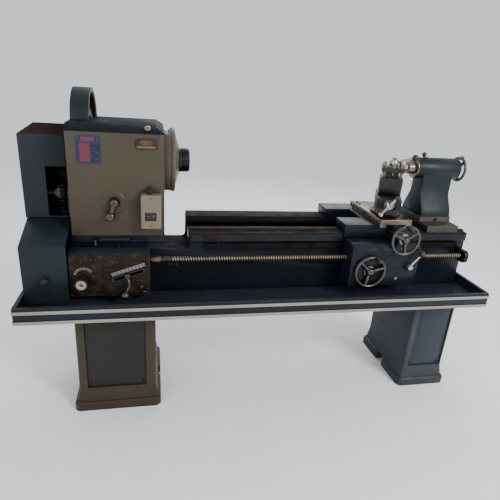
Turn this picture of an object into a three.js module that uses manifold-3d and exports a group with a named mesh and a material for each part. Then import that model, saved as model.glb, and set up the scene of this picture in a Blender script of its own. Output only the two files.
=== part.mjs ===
// Gap-bed centre lathe on two cast pedestals. Millimetres, +Z up, floor at z = 0.
// X runs along the bed (headstock at -X), the operator stands at -Y, the spindle axis lies in y = 0.
import * as THREE from 'three';
import { mergeVertices } from 'three/addons/utils/BufferGeometryUtils.js';
import Module from 'manifold-3d';

const wasm = await Module();
wasm.setup();

// ---- driving dimensions -------------------------------------------------------------------
const GAP = 0.4;                  // clearance between pieces that touch on the real machine

const TRAY_HALF_X = 1030;
const TRAY_HALF_Y = 388;
const TRAY_TOP = 605;
const LIP_HEIGHT = 69;
const PAN_TOP = 557;
const PAN_SHEET = 3;
const TRIM_HEIGHT = 14;
const TRIM_PROUD = 2.5;

const PEDESTAL_FRONT = -235;
const PEDESTAL_BACK = 165;
const FOOT_SPREAD = 22;           // how far the foot stands out round the pedestal
const FOOT_HEIGHT = 88;
const SKIRT_SPREAD = 8;           // step between the foot and the wall
const PEDESTAL_WALL = 14;
const LEFT_PANEL_MARGIN = [38, 44];   // frame left and right of each front panel
const RIGHT_PANEL_MARGIN = [28, 14];
const PANEL_Z = [108, 530];
const PANEL_RECESS = 12;
const LIFT_SLOT_Y = [-70, -6];     // notch through each foot for a pinch bar
const LIFT_SLOT_TOP = 44;
const LEFT_PEDESTAL_X = [-843, -503];
const RIGHT_PEDESTAL_X = [769, 998];

const BED_X = [-835, 1000];
const BED_HALF_Y = 175;
const BED_TOP = 831;
const WAY_INNER = 78;             // distance of each way's inner edge from the middle plane
const BED_WALL = 22;
const V_WAY_Y = -135;
const V_WAY_HALF = 15;
const V_WAY_HEIGHT = 10;
const GAP_X = [-462, -354];       // the gap in front of the chuck
const GAP_FRONT_Z = 755;
const GAP_BACK_Z = 702;

const SPINDLE_Z = 1112;
const HEAD_X = [-825, -463];
const HEAD_FRONT = -210;
const HEAD_BACK = 150;
const HEAD_BOTTOM = 835;
const HEAD_TOP = 1242;
const HEAD_WALL = 14;
const COVER_TOP = 1268;
const COVER_EDGE = 4;             // height of the top cover's upright rim
const COVER_SLOPE_RUN = 42;       // plan length of its front slope
const COVER_SLOPE = Math.atan2(COVER_TOP - HEAD_TOP - GAP - COVER_EDGE, COVER_SLOPE_RUN);
const OIL_CAP = [-526, -191, (COVER_TOP + HEAD_TOP + GAP + COVER_EDGE) / 2];
const BAY_X = -748;               // the pulley bay takes the rear left corner of the headstock
const BAY_FRONT = -53;

const BEARING_R = [50, 78];       // outer radius of the rear and the front spindle bearing
const GEAR_MODULE = 6;
const BULL_TEETH = 36;
const PINION_TEETH = 9;
const INPUT_Y = 98;               // input shaft, above and behind the spindle
const INPUT_Z = SPINDLE_Z + Math.sqrt((GEAR_MODULE * (BULL_TEETH + PINION_TEETH) / 2) ** 2 - INPUT_Y ** 2);

const MOTOR_Y = 298;
const MOTOR_Z = 760;
const MOTOR_RADIUS = 80;
const BELT_X = [-818, -770];
const INPUT_PULLEY_R = 88;
const MOTOR_PULLEY_R = 44;
const BELT_THICKNESS = 8;
const BELT_SLACK = 2;             // air between belt and pulley, so that neither binds

const SELECTOR = [-657, 975];      // speed selector shaft, x and z
const GUARD_X = [-829, -757];
const GUARD_Y = 94;
const GUARD_Z = 1242;
const GUARD_RADIUS = 144;
const SHEET = 3;

const COVER_X = [-1011, -845];
const COVER_FRONT = -110;
const COVER_BACK = 150;
const LOWER_COVER_FRONT = -280;
const LOWER_COVER_TOP = 811;
const COVER_BREAK_Z = 877;

const GEAR_X = -884;              // left face of the end gear train
const GEAR_WIDTH = 20;
const TRAIN = [                   // spindle gear, idler, change gear, feed input gear
  { name: 'spindle_gear', teeth: 24, y: 0, z: SPINDLE_Z, bore: 31.6 },
  { name: 'idler_gear', teeth: 28, y: 1.3, z: 956, bore: 14 },
  { name: 'change_gear', teeth: 32, y: -50, z: 783.4, bore: 14 },
  { name: 'feed_input_gear', teeth: 20, y: -186, z: 706.2, bore: 12, shaft: [-10, 60] },
];

const FEED_BOX_X = [-838, -531];
const FEED_BOX_FRONT = -268;
const FEED_BOX_Z = [592, 775];
const DIAL = [-787, 665];          // feed dial, x and z
const SLOT_TILT = 0.33;           // lean of the lever slot and its index plate
const LEADSCREW_Y = -225;
const LEADSCREW_Z = 733;
const LEADSCREW_R = 12;

const CARRIAGE_X = 575;           // line of the cross-feed screw
const SADDLE_X = [-225, 115];     // along the bed, from that line
const SADDLE_THICKNESS = 44;
const CROSS_SCREW_Z = 19;         // above the bed top
const WHEEL_AT = [-130, -140];    // carriage handwheel, x from the cross-feed screw, z from the bed top
const NUT_LEVER_AT = [62, -120];
const CROSS_TOP = 81;             // top of the cross slide above the bed top
const PIVOT_Y = -110;
const COMPOUND_ANGLE = -25;       // degrees about +Z
const POST_HEIGHT = 128;

const TAILSTOCK_X = 862;
const CENTRE_HEIGHT = SPINDLE_Z - BED_TOP;
const QUILL_R = 30;
const CLAMP_X = -62;

// ---- finishes -----------------------------------------------------------------------------
const finish = (color, roughness, metalness) =>
  new THREE.MeshStandardMaterial({ color, roughness, metalness });
const BEIGE = finish(0x8f897a, 0.5, 0.1);
const BLUE_GREY = finish(0x56636d, 0.45, 0.1);
const BED_BLUE = finish(0x3d4855, 0.5, 0.1);
const PRIMER = finish(0x6d6356, 0.55, 0.4);
const BARE_STEEL = finish(0x9a958d, 0.35, 0.9);
const CREAM = finish(0xd9d2c2, 0.5, 0.0);
const DARK_STEEL = finish(0x4a4746, 0.4, 0.8);
const CAST_IRON = finish(0x5b5a58, 0.6, 0.6);
const BLACK = finish(0x1c1c1e, 0.5, 0.0);
const RUBBER = finish(0x151515, 0.8, 0.0);
const PLATE_BLUE = finish(0x3b4d84, 0.4, 0.1);
const RED = finish(0xa02a22, 0.4, 0.0);
const GREEN = finish(0x2c6b3a, 0.4, 0.0);

// ---- solids -------------------------------------------------------------------------------
function signedVolume(position, index) {
  const [a, b, c] = [new THREE.Vector3(), new THREE.Vector3(), new THREE.Vector3()];
  let sum = 0;
  for (let i = 0; i < index.length; i += 3) {
    a.fromBufferAttribute(position, index[i]);
    b.fromBufferAttribute(position, index[i + 1]);
    c.fromBufferAttribute(position, index[i + 2]);
    sum += a.dot(b.cross(c));
  }
  return sum / 6;
}

// One shared vertex per corner, no flat triangles, faces pointing out.
function welded(source) {
  const bare = source.clone();
  bare.deleteAttribute('normal');
  bare.deleteAttribute('uv');
  const merged = mergeVertices(bare, 1e-4);
  let index = [];
  const all = merged.index.array;
  for (let i = 0; i < all.length; i += 3) {
    const [p, q, r] = [all[i], all[i + 1], all[i + 2]];
    if (p !== q && q !== r && p !== r) index.push(p, q, r);
  }
  if (signedVolume(merged.attributes.position, index) < 0) index = index.reverse();
  merged.setIndex(index);
  return merged;
}

function toManifold(geometry) {
  const g = welded(geometry);
  return new wasm.Manifold(new wasm.Mesh({
    numProp: 3,
    vertProperties: new Float32Array(g.attributes.position.array),
    triVerts: new Uint32Array(g.index.array),
  }));
}

function fromManifold(solid) {
  const mesh = solid.getMesh();
  const g = new THREE.BufferGeometry();
  g.setAttribute('position', new THREE.BufferAttribute(mesh.vertProperties, 3));
  g.setIndex(new THREE.BufferAttribute(mesh.triVerts, 1));
  return g;
}

const join = (...parts) => fromManifold(parts.map(toManifold).reduce((a, b) => a.add(b)));
const cut = (body, ...tools) =>
  fromManifold(tools.map(toManifold).reduce((a, b) => a.subtract(b), toManifold(body)));
const common = (a, b) => fromManifold(toManifold(a).intersect(toManifold(b)));

// Geometry made along local +Y, turned to lie along the named axis.
function along(axis, geometry) {
  if (axis === 'x') geometry.rotateZ(-Math.PI / 2);
  if (axis === 'z') geometry.rotateX(Math.PI / 2);
  return geometry;
}

// The centre of a round piece, given as its other two coordinates in x, y, z order.
function centred(axis, geometry, [a, b]) {
  if (axis === 'x') return geometry.translate(0, a, b);
  if (axis === 'y') return geometry.translate(a, 0, b);
  return geometry.translate(a, b, 0);
}

function box([x0, x1], [y0, y1], [z0, z1]) {
  return new THREE.BoxGeometry(x1 - x0, y1 - y0, z1 - z0)
    .translate((x0 + x1) / 2, (y0 + y1) / 2, (z0 + z1) / 2);
}

function rod(axis, radius, [from, to], centre = [0, 0], sides = 12) {
  const g = new THREE.CylinderGeometry(radius, radius, to - from, sides).translate(0, (from + to) / 2, 0);
  return centred(axis, along(axis, g), centre);
}

// A turned piece: [distance along the axis, radius] pairs. A profile off the axis closes on itself.
function turned(axis, profile, centre = [0, 0], sides = 16) {
  const points = profile.map(([s, r]) => new THREE.Vector2(r, s));
  if (profile[0][1] > 0) points.push(points[0].clone());
  return centred(axis, along(axis, welded(new THREE.LatheGeometry(points, sides))), centre);
}

// A round bar bent through the given points.
function bentRod(radius, points, steps) {
  const path = new THREE.CatmullRomCurve3(points.map((p) => new THREE.Vector3(...p)));
  const section = new THREE.Shape().absarc(0, 0, radius, 0, Math.PI * 2);
  return new THREE.ExtrudeGeometry(section, { steps, extrudePath: path, curveSegments: 5 });
}

function ball(radius, [x, y, z], sides = 9) {
  return new THREE.SphereGeometry(radius, sides, sides - 3).translate(x, y, z);
}

// An outline drawn in the plane across an axis: (y, z) for x, (x, z) for y, (x, y) for z.
function prism(axis, outline, [from, to], segments = 2) {
  const shape = outline instanceof THREE.Shape
    ? outline
    : new THREE.Shape(outline.map(([a, b]) => new THREE.Vector2(a, b)));
  const g = new THREE.ExtrudeGeometry(shape,
    { depth: to - from, bevelEnabled: false, curveSegments: segments });
  const m = new THREE.Matrix4();
  if (axis === 'x') m.set(0, 0, 1, from, 1, 0, 0, 0, 0, 1, 0, 0, 0, 0, 0, 1);
  if (axis === 'y') m.set(1, 0, 0, 0, 0, 0, -1, to, 0, 1, 0, 0, 0, 0, 0, 1);
  if (axis === 'z') m.makeTranslation(0, 0, from);
  return g.applyMatrix4(m);
}

// A rectangle with rounded corners; radii run from the low-low corner anticlockwise.
function roundedRect([a0, a1], [b0, b1], radii, Type = THREE.Shape) {
  const [r0, r1, r2, r3] = Array.isArray(radii) ? radii : [radii, radii, radii, radii];
  const s = new Type();
  s.moveTo(a0 + r0, b0).lineTo(a1 - r1, b0);
  if (r1) s.absarc(a1 - r1, b0 + r1, r1, -Math.PI / 2, 0);
  s.lineTo(a1, b1 - r2);
  if (r2) s.absarc(a1 - r2, b1 - r2, r2, 0, Math.PI / 2);
  s.lineTo(a0 + r3, b1);
  if (r3) s.absarc(a0 + r3, b1 - r3, r3, Math.PI / 2, Math.PI);
  s.lineTo(a0, b0 + r0);
  if (r0) s.absarc(a0 + r0, b0 + r0, r0, Math.PI, Math.PI * 1.5);
  return s;
}

const circlePath = (a, b, r) => new THREE.Path().absarc(a, b, r, 0, Math.PI * 2);

// Radius to give a many-sided hole so that a shaft turns in it without touching its flats.
const clearOf = (shaftRadius, sides = 16) => (shaftRadius + GAP) / Math.cos(Math.PI / sides);
const hole = (axis, shaftRadius, span, centre, sides = 16) =>
  rod(axis, clearOf(shaftRadius, sides), span, centre, sides);

function part(name, geometry, material, position = [0, 0, 0]) {
  const mesh = new THREE.Mesh(welded(geometry), material);
  mesh.name = name;
  mesh.position.set(...position);
  return mesh;
}

function assembly(position, ...children) {
  const group = new THREE.Group();
  group.position.set(...position);
  group.add(...children);
  return group;
}

// Outline of a spur gear about the origin. phase is where one tooth's middle points, in radians.
function gearShape(teeth, phase, bore) {
  const pitchRadius = GEAR_MODULE * teeth / 2;
  const root = pitchRadius - 1.25 * GEAR_MODULE;
  const tip = pitchRadius + 0.9 * GEAR_MODULE;
  const step = 2 * Math.PI / teeth;
  const corners = [[root, -0.29], [tip, -0.12], [tip, 0.12], [root, 0.29]];
  const points = [];
  for (let i = 0; i < teeth; i++) {
    for (const [r, f] of corners) {
      const a = phase + (i + f) * step;
      points.push(new THREE.Vector2(r * Math.cos(a), r * Math.sin(a)));
    }
  }
  const shape = new THREE.Shape(points);
  shape.holes.push(circlePath(0, 0, clearOf(bore)));
  return shape;
}

// Phase that puts gear b's gap against gear a's tooth on their line of centres.
function meshedPhase(a, b) {
  const towards = Math.atan2(b.z - a.z, b.y - a.y);
  const toothOffset = (towards - a.phase) * a.teeth / (2 * Math.PI);
  return towards + Math.PI - (0.5 - toothOffset) * 2 * Math.PI / b.teeth;
}

// A wheel on a shaft along Y with its rim at y = 0; front, back and grip are distances along Y.
function handwheel({ radius, rim, front, back, shaftRadius, shaftEnd, grip, spokes = 3 }) {
  const bore = shaftRadius * 0.7;
  const ring = turned('y', [[-rim, radius - rim], [-rim, radius + 1], [rim, radius + 1], [rim, radius - rim]],
    [0, 0], 24);
  const hub = turned('y', [[front, bore], [front, rim * 2.4], [back, rim * 3], [back, bore]], [0, 0], 12);
  const arms = Array.from({ length: spokes }, (_, i) =>
    rod('z', rim * 0.8, [rim * 2, radius - rim * 0.6], [0, 0], 6).rotateY((i + 0.5) * 2 * Math.PI / spokes));
  const handle = turned('y', [[rim * 0.5, 0], [rim * 0.5, 6], [-grip * 0.7, 10.5], [-grip, 7], [-grip, 0]],
    [radius * 0.86, 0], 8);
  return join(ring, hub, ...arms, handle, rod('y', shaftRadius, [front + 2, shaftEnd]));
}

const gearBlank = (teeth, phase, bore, span) => prism('x', gearShape(teeth, phase, bore), span, 8);

// ---- pedestals and tray -------------------------------------------------------------------
function pedestal([x0, x1], margin) {
  const top = PAN_TOP - PAN_SHEET - GAP;
  const block = (spread, corner, span) => prism('z', roundedRect([x0 - spread, x1 + spread],
    [PEDESTAL_FRONT - spread, PEDESTAL_BACK + spread], corner), span);
  const wall = block(0, 16, [0, top]);
  const foot = block(FOOT_SPREAD, 27, [0, FOOT_HEIGHT / 2]);
  const skirt = block(SKIRT_SPREAD, 20, [FOOT_HEIGHT / 2 - 1, FOOT_HEIGHT]);
  const inside = box([x0 + PEDESTAL_WALL, x1 - PEDESTAL_WALL],
    [PEDESTAL_FRONT + 2 * PEDESTAL_WALL, PEDESTAL_BACK - PEDESTAL_WALL], [-1, top - PEDESTAL_WALL]);
  const recess = box([x0 + margin[0], x1 - margin[1]],
    [PEDESTAL_FRONT - 1, PEDESTAL_FRONT + PANEL_RECESS], PANEL_Z);
  const liftSlot = box([x0 - 60, x1 + 60], LIFT_SLOT_Y, [-1, LIFT_SLOT_TOP]);
  return cut(join(wall, foot, skirt), inside, recess, liftSlot);
}

function pedestalPanel([x0, x1], margin) {
  return prism('y', roundedRect([x0 + margin[0] + GAP, x1 - margin[1] - GAP],
    [PANEL_Z[0] + GAP, PANEL_Z[1] - GAP], 3), [PEDESTAL_FRONT + 6, PEDESTAL_FRONT + PANEL_RECESS - GAP]);
}

function base() {
  const trimRing = (z) => {
    const outer = roundedRect([-TRAY_HALF_X - TRIM_PROUD, TRAY_HALF_X + TRIM_PROUD],
      [-TRAY_HALF_Y - TRIM_PROUD, TRAY_HALF_Y + TRIM_PROUD], 10);
    outer.holes.push(roundedRect([-TRAY_HALF_X - GAP, TRAY_HALF_X + GAP],
      [-TRAY_HALF_Y - GAP, TRAY_HALF_Y + GAP], 8, THREE.Path));
    return prism('z', outer, [z, z + TRIM_HEIGHT], 1);
  };
  const lipBottom = TRAY_TOP - LIP_HEIGHT;
  const outside = prism('z', roundedRect([-TRAY_HALF_X, TRAY_HALF_X], [-TRAY_HALF_Y, TRAY_HALF_Y], 8),
    [lipBottom, TRAY_TOP], 1);
  const flange = 15;
  const upperHollow = box([-TRAY_HALF_X + SHEET, TRAY_HALF_X - SHEET],
    [-TRAY_HALF_Y + SHEET, TRAY_HALF_Y - SHEET], [PAN_TOP, TRAY_TOP - SHEET]);
  const mouth = box([-TRAY_HALF_X + flange, TRAY_HALF_X - flange],
    [-TRAY_HALF_Y + flange, TRAY_HALF_Y - flange], [PAN_TOP, TRAY_TOP + 1]);
  const underside = box([-TRAY_HALF_X + SHEET, TRAY_HALF_X - SHEET],
    [-TRAY_HALF_Y + SHEET, TRAY_HALF_Y - SHEET], [lipBottom - 1, PAN_TOP - PAN_SHEET]);
  return [
    part('left_pedestal', pedestal(LEFT_PEDESTAL_X, LEFT_PANEL_MARGIN), BEIGE),
    part('right_pedestal', pedestal(RIGHT_PEDESTAL_X, RIGHT_PANEL_MARGIN), BEIGE),
    part('left_pedestal_panel', pedestalPanel(LEFT_PEDESTAL_X, LEFT_PANEL_MARGIN), BLUE_GREY),
    part('right_pedestal_panel', pedestalPanel(RIGHT_PEDESTAL_X, RIGHT_PANEL_MARGIN), BLUE_GREY),
    part('chip_tray', cut(outside, upperHollow, mouth, underside), BLUE_GREY),
    part('tray_trim_upper', trimRing(TRAY_TOP - 11 - TRIM_HEIGHT), CREAM),
    part('tray_trim_lower', trimRing(lipBottom + 1), CREAM),
  ];
}

// Clearance groove over the V-way, for whatever sits on the bed. Heights are from the bed top.
const veeGroove = ([x0, x1], bedTop = 0) => prism('x', [[V_WAY_Y - 2 * V_WAY_HALF, bedTop - 8],
  [V_WAY_Y, bedTop + V_WAY_HEIGHT + 4], [V_WAY_Y + 2 * V_WAY_HALF, bedTop - 8]], [x0, x1]);

// ---- bed ----------------------------------------------------------------------------------
function bed() {
  const foot = PAN_TOP + GAP;
  const half = BED_HALF_Y;
  const face = half - 7;
  const rail = (side, vee) => {
    const way = vee
      ? [[V_WAY_Y - V_WAY_HALF, BED_TOP], [V_WAY_Y, BED_TOP + V_WAY_HEIGHT], [V_WAY_Y + V_WAY_HALF, BED_TOP]]
      : [];
    const outline = [[-face, foot], [-face, 786], [-half, 793], [-half, BED_TOP], ...way, [-WAY_INNER, BED_TOP],
      [-WAY_INNER, 800], [-face + BED_WALL, 780], [-face + BED_WALL, 584], [-100, 584], [-100, foot]];
    return prism('x', outline.map(([y, z]) => [side * y, z]), BED_X);
  };
  const ribs = [BED_X[0], -650, -490, -346, -110, 140, 390, 640, 830, BED_X[1] - 20].map((x) =>
    box([x, x + 20], [-face + 5, face - 5], [570, 770]));
  const gapFloor = box([GAP_X[0] - 20, GAP_X[1] + 20], [-face + 5, face - 5], [GAP_BACK_Z - 22, GAP_BACK_Z]);
  const frontGap = prism('y', roundedRect(GAP_X, [GAP_FRONT_Z, BED_TOP + 40], [18, 18, 0, 0]), [-half - 5, 0]);
  const backGap = prism('y', roundedRect(GAP_X, [GAP_BACK_Z, BED_TOP + 40], [18, 18, 0, 0]),
    [-face + BED_WALL, half + 5]);
  const clampRecess = prism('y', roundedRect([-738, -596], [795, 811], 7), [-half - 5, -half + 9]);
  const bridgeRecess = box([-300, -240], [-half - 5, -half + 8], [797, 820]);
  return [
    part('bed', cut(join(rail(1, true), rail(-1, false), ...ribs, gapFloor), frontGap, backGap,
      clampRecess, bridgeRecess), BED_BLUE),
    part('feed_rack', box([-290, 950], [-face - 15, -face - GAP], [762, 784]), DARK_STEEL),
  ];
}

// ---- headstock ----------------------------------------------------------------------------
function lShape(inset, corner) {
  // Plan of the headstock with its rear left corner left open for the pulley bay.
  const [x0, x1] = [HEAD_X[0] + inset, HEAD_X[1] - inset];
  const [y0, y1] = [HEAD_FRONT + inset, HEAD_BACK - inset];
  const bayX = BAY_X + inset;
  const bayY = BAY_FRONT - inset;
  const s = new THREE.Shape();
  s.moveTo(x0, y0).lineTo(x1 - corner, y0);
  s.absarc(x1 - corner, y0 + corner, corner, -Math.PI / 2, 0);
  s.lineTo(x1, y1).lineTo(bayX, y1).lineTo(bayX, bayY).lineTo(x0, bayY).closePath();
  return s;
}

function headstockHousing() {
  const outer = prism('z', lShape(0, 14), [HEAD_BOTTOM, HEAD_TOP]);
  const inner = prism('z', lShape(HEAD_WALL, 4), [HEAD_BOTTOM + 20, HEAD_TOP + 1]);
  const sole = box([HEAD_X[0], HEAD_X[1]], [-BED_HALF_Y, -WAY_INNER], [BED_TOP + GAP, HEAD_BOTTOM + 1]);
  const rearSole = box([BAY_X, HEAD_X[1]], [WAY_INNER, HEAD_BACK], [BED_TOP + GAP, HEAD_BOTTOM + 1]);
  const boss = rod('x', 96, [HEAD_X[1] - 46, HEAD_X[1]], [0, SPINDLE_Z], 20);
  const rearBoss = rod('x', 64, [BAY_X, BAY_X + 34], [0, SPINDLE_Z], 20);
  const inputBoss = common(rod('x', 38, [BAY_X, BAY_X + 30], [INPUT_Y, INPUT_Z], 16),
    box([BAY_X, 0], [-200, 200], [HEAD_BOTTOM, HEAD_TOP]));
  const frontBore = hole('x', BEARING_R[1], [HEAD_X[1] - 60, HEAD_X[1] + 5], [0, SPINDLE_Z], 20);
  const rearBore = hole('x', BEARING_R[0], [BAY_X - 5, BAY_X + 50], [0, SPINDLE_Z], 20);
  const inputBore = hole('x', 17, [BAY_X - 5, BAY_X + 50], [INPUT_Y, INPUT_Z]);
  const selectorBoss = turned('y', [[HEAD_FRONT - 4, 0], [HEAD_FRONT - 4, 44], [HEAD_FRONT + 1, 50],
    [HEAD_FRONT + 1, 0]], [-662, 972], 20);
  const selectorBore = hole('y', 9, [HEAD_FRONT - 6, HEAD_FRONT + 30], SELECTOR);
  return cut(join(cut(join(outer, sole, rearSole), inner), common(join(boss, rearBoss), outer),
    inputBoss, selectorBoss),
    veeGroove([HEAD_X[0] - 1, HEAD_X[1] + 1], BED_TOP), frontBore, rearBore, inputBore, selectorBore);
}

function topCover() {
  // Low hipped lid with the same plan as the housing: shallow slopes to the front, back and right.
  const floor = HEAD_TOP + GAP;
  const top = COVER_TOP;
  const [x0, x1] = [HEAD_X[0] - 3, HEAD_X[1] + 1];
  const section = [[HEAD_FRONT - 2, floor], [HEAD_FRONT - 2, floor + COVER_EDGE],
    [HEAD_FRONT - 2 + COVER_SLOPE_RUN, top], [HEAD_BACK - 30, top],
    [HEAD_BACK + 2, floor + COVER_EDGE], [HEAD_BACK + 2, floor]];
  const hip = prism('y', [[x0, floor], [x1, floor], [x1, floor + COVER_EDGE], [x1 - 34, top], [x0, top]],
    [HEAD_FRONT - 10, HEAD_BACK + 10]);
  const solid = common(prism('x', section, [x0, x1]), hip);
  const bay = box([x0 - 5, BAY_X - 5], [BAY_FRONT + 1, HEAD_BACK + 20], [floor - 5, top + 5]);
  return cut(solid, bay);
}

function frontBearingCap() {
  const face = HEAD_X[1] + GAP;
  const profile = [[face, 56], [face, 134], [-431, 134], [-425, 137.5], [-418, 137.5], [-413, 128], [-399, 64],
    [-399, 56]];
  const shoulder = prism('y', [[face - 1, 1228], [-443, 1228], [-427, 1262], [face - 1, 1262]], [-160, 160]);
  return cut(turned('x', profile, [0, SPINDLE_Z], 28), shoulder);
}

function spindle() {
  const profile = [[-905, 20], [-905, 31.6], [-752, 31.6], [-752, 36], [-716, 36], [-716, 42], [-520, 42],
    [-520, 48], [-397, 48], [-397, 52.6], [-352, 52.6], [-352, 24]];
  return turned('x', profile, [0, SPINDLE_Z], 20);
}

function spindleBearing([x0, x1], shaftRadius, outer) {
  const inner = clearOf(shaftRadius, 20);
  return turned('x', [[x0, inner], [x0, outer], [x1, outer], [x1, inner]], [0, SPINDLE_Z], 20);
}

function inputShaft(phase) {
  const gear = gearBlank(PINION_TEETH, phase, 8, [-650, -606]).translate(0, INPUT_Y, INPUT_Z);
  const shaft = turned('x', [[-826, 0], [-826, 15], [-766, 15], [-766, 17], [-590, 17], [-590, 0]],
    [INPUT_Y, INPUT_Z], 16);
  return join(shaft, gear);
}

function pulley([x0, x1], radius, bore, centre) {
  const depth = 12;
  const web = (x0 + x1) / 2;
  const rim = [[x0, radius - depth], [x0, radius], [x1, radius], [x1, radius - depth]];
  const profile = [[x0, bore], [x0, bore + 14], [web - 8, bore + 18], [web - 8, radius - depth - 6], ...rim,
    [web + 8, radius - depth - 6], [web + 8, bore + 18], [x1, bore + 14], [x1, bore]];
  return turned('x', profile, centre, 20);
}

// Outline round two circles, as a belt runs.
function loop(radiusA, radiusB, Type = THREE.Shape) {
  const [dy, dz] = [MOTOR_Y - INPUT_Y, MOTOR_Z - INPUT_Z];
  const line = Math.atan2(dz, dy);
  const lean = Math.acos((radiusA - radiusB) / Math.hypot(dy, dz));
  const s = new Type();
  s.absarc(INPUT_Y, INPUT_Z, radiusA, line + lean, line - lean + 2 * Math.PI);
  s.absarc(MOTOR_Y, MOTOR_Z, radiusB, line - lean, line + lean);
  s.closePath();
  return s;
}

function driveBelt() {
  const outer = loop(INPUT_PULLEY_R + BELT_THICKNESS, MOTOR_PULLEY_R + BELT_THICKNESS);
  outer.holes.push(loop(INPUT_PULLEY_R + BELT_SLACK, MOTOR_PULLEY_R + BELT_SLACK, THREE.Path));
  return prism('x', outer, BELT_X, 8);
}

function beltGuard() {
  // A sheet band over the input pulley, led down behind the bed to the motor, closed on its left side.
  const band = (inset) => {
    const r = GUARD_RADIUS - inset;
    const s = new THREE.Shape();
    s.absarc(GUARD_Y, GUARD_Z, r, 0, Math.PI);
    s.lineTo(GUARD_Y - r, 1070 + inset * 0.4).lineTo(176 + inset, 851 + inset * 0.4);
    s.lineTo(234 + inset, 738 + inset * 0.5);
    s.absarc(MOTOR_Y, MOTOR_Z, 68 - inset, Math.PI * 1.12, Math.PI * 2);
    s.closePath();
    return s;
  };
  const shell = prism('x', band(0), GUARD_X, 6);
  const hollow = prism('x', band(SHEET), [GUARD_X[0] + SHEET, GUARD_X[1] + 1], 6);
  const spindleHole = rod('x', 38, [GUARD_X[0] - 2, GUARD_X[0] + 10], [0, SPINDLE_Z]);
  const shaftHole = rod('x', 24, [GUARD_X[0] - 2, GUARD_X[0] + 10], [INPUT_Y, INPUT_Z]);
  return cut(shell, hollow, spindleHole, shaftHole);
}

function motor() {
  const [x0, x1] = [-736, -470];
  const profile = [[x0, 0], [x0, 60], [x0 + 12, 78], [x0 + 34, MOTOR_RADIUS], [x1 - 40, MOTOR_RADIUS],
    [x1 - 36, MOTOR_RADIUS - 4], [x1 - 6, 72], [x1, 60], [x1, 0]];
  const feet = box([x0 + 40, x1 - 60], [MOTOR_Y - 66, MOTOR_Y + 66], [MOTOR_Z - 92, MOTOR_Z - 50]);
  const arch = box([x0 + 35, x1 - 55], [MOTOR_Y - 34, MOTOR_Y + 34], [MOTOR_Z - 93, MOTOR_Z - 78]);
  const terminals = box([-640, -560], [MOTOR_Y - 36, MOTOR_Y + 36], [MOTOR_Z + 50, MOTOR_Z + 106]);
  return join(cut(join(turned('x', profile, [MOTOR_Y, MOTOR_Z], 20), feet), arch), terminals);
}

function motorBracket() {
  const shelf = box([-716, -510], [188, 372], [MOTOR_Z - 92 - 12 - GAP, MOTOR_Z - 92 - GAP]);
  const back = box([-716, -510], [BED_HALF_Y - 7 + GAP, 188], [600, MOTOR_Z - 92 - GAP]);
  const web = (x) => prism('x', [[180, 605], [180, 660], [350, 660], [350, 650]], [x, x + 12]);
  return join(shelf, back, web(-716), web(-522));
}

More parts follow.
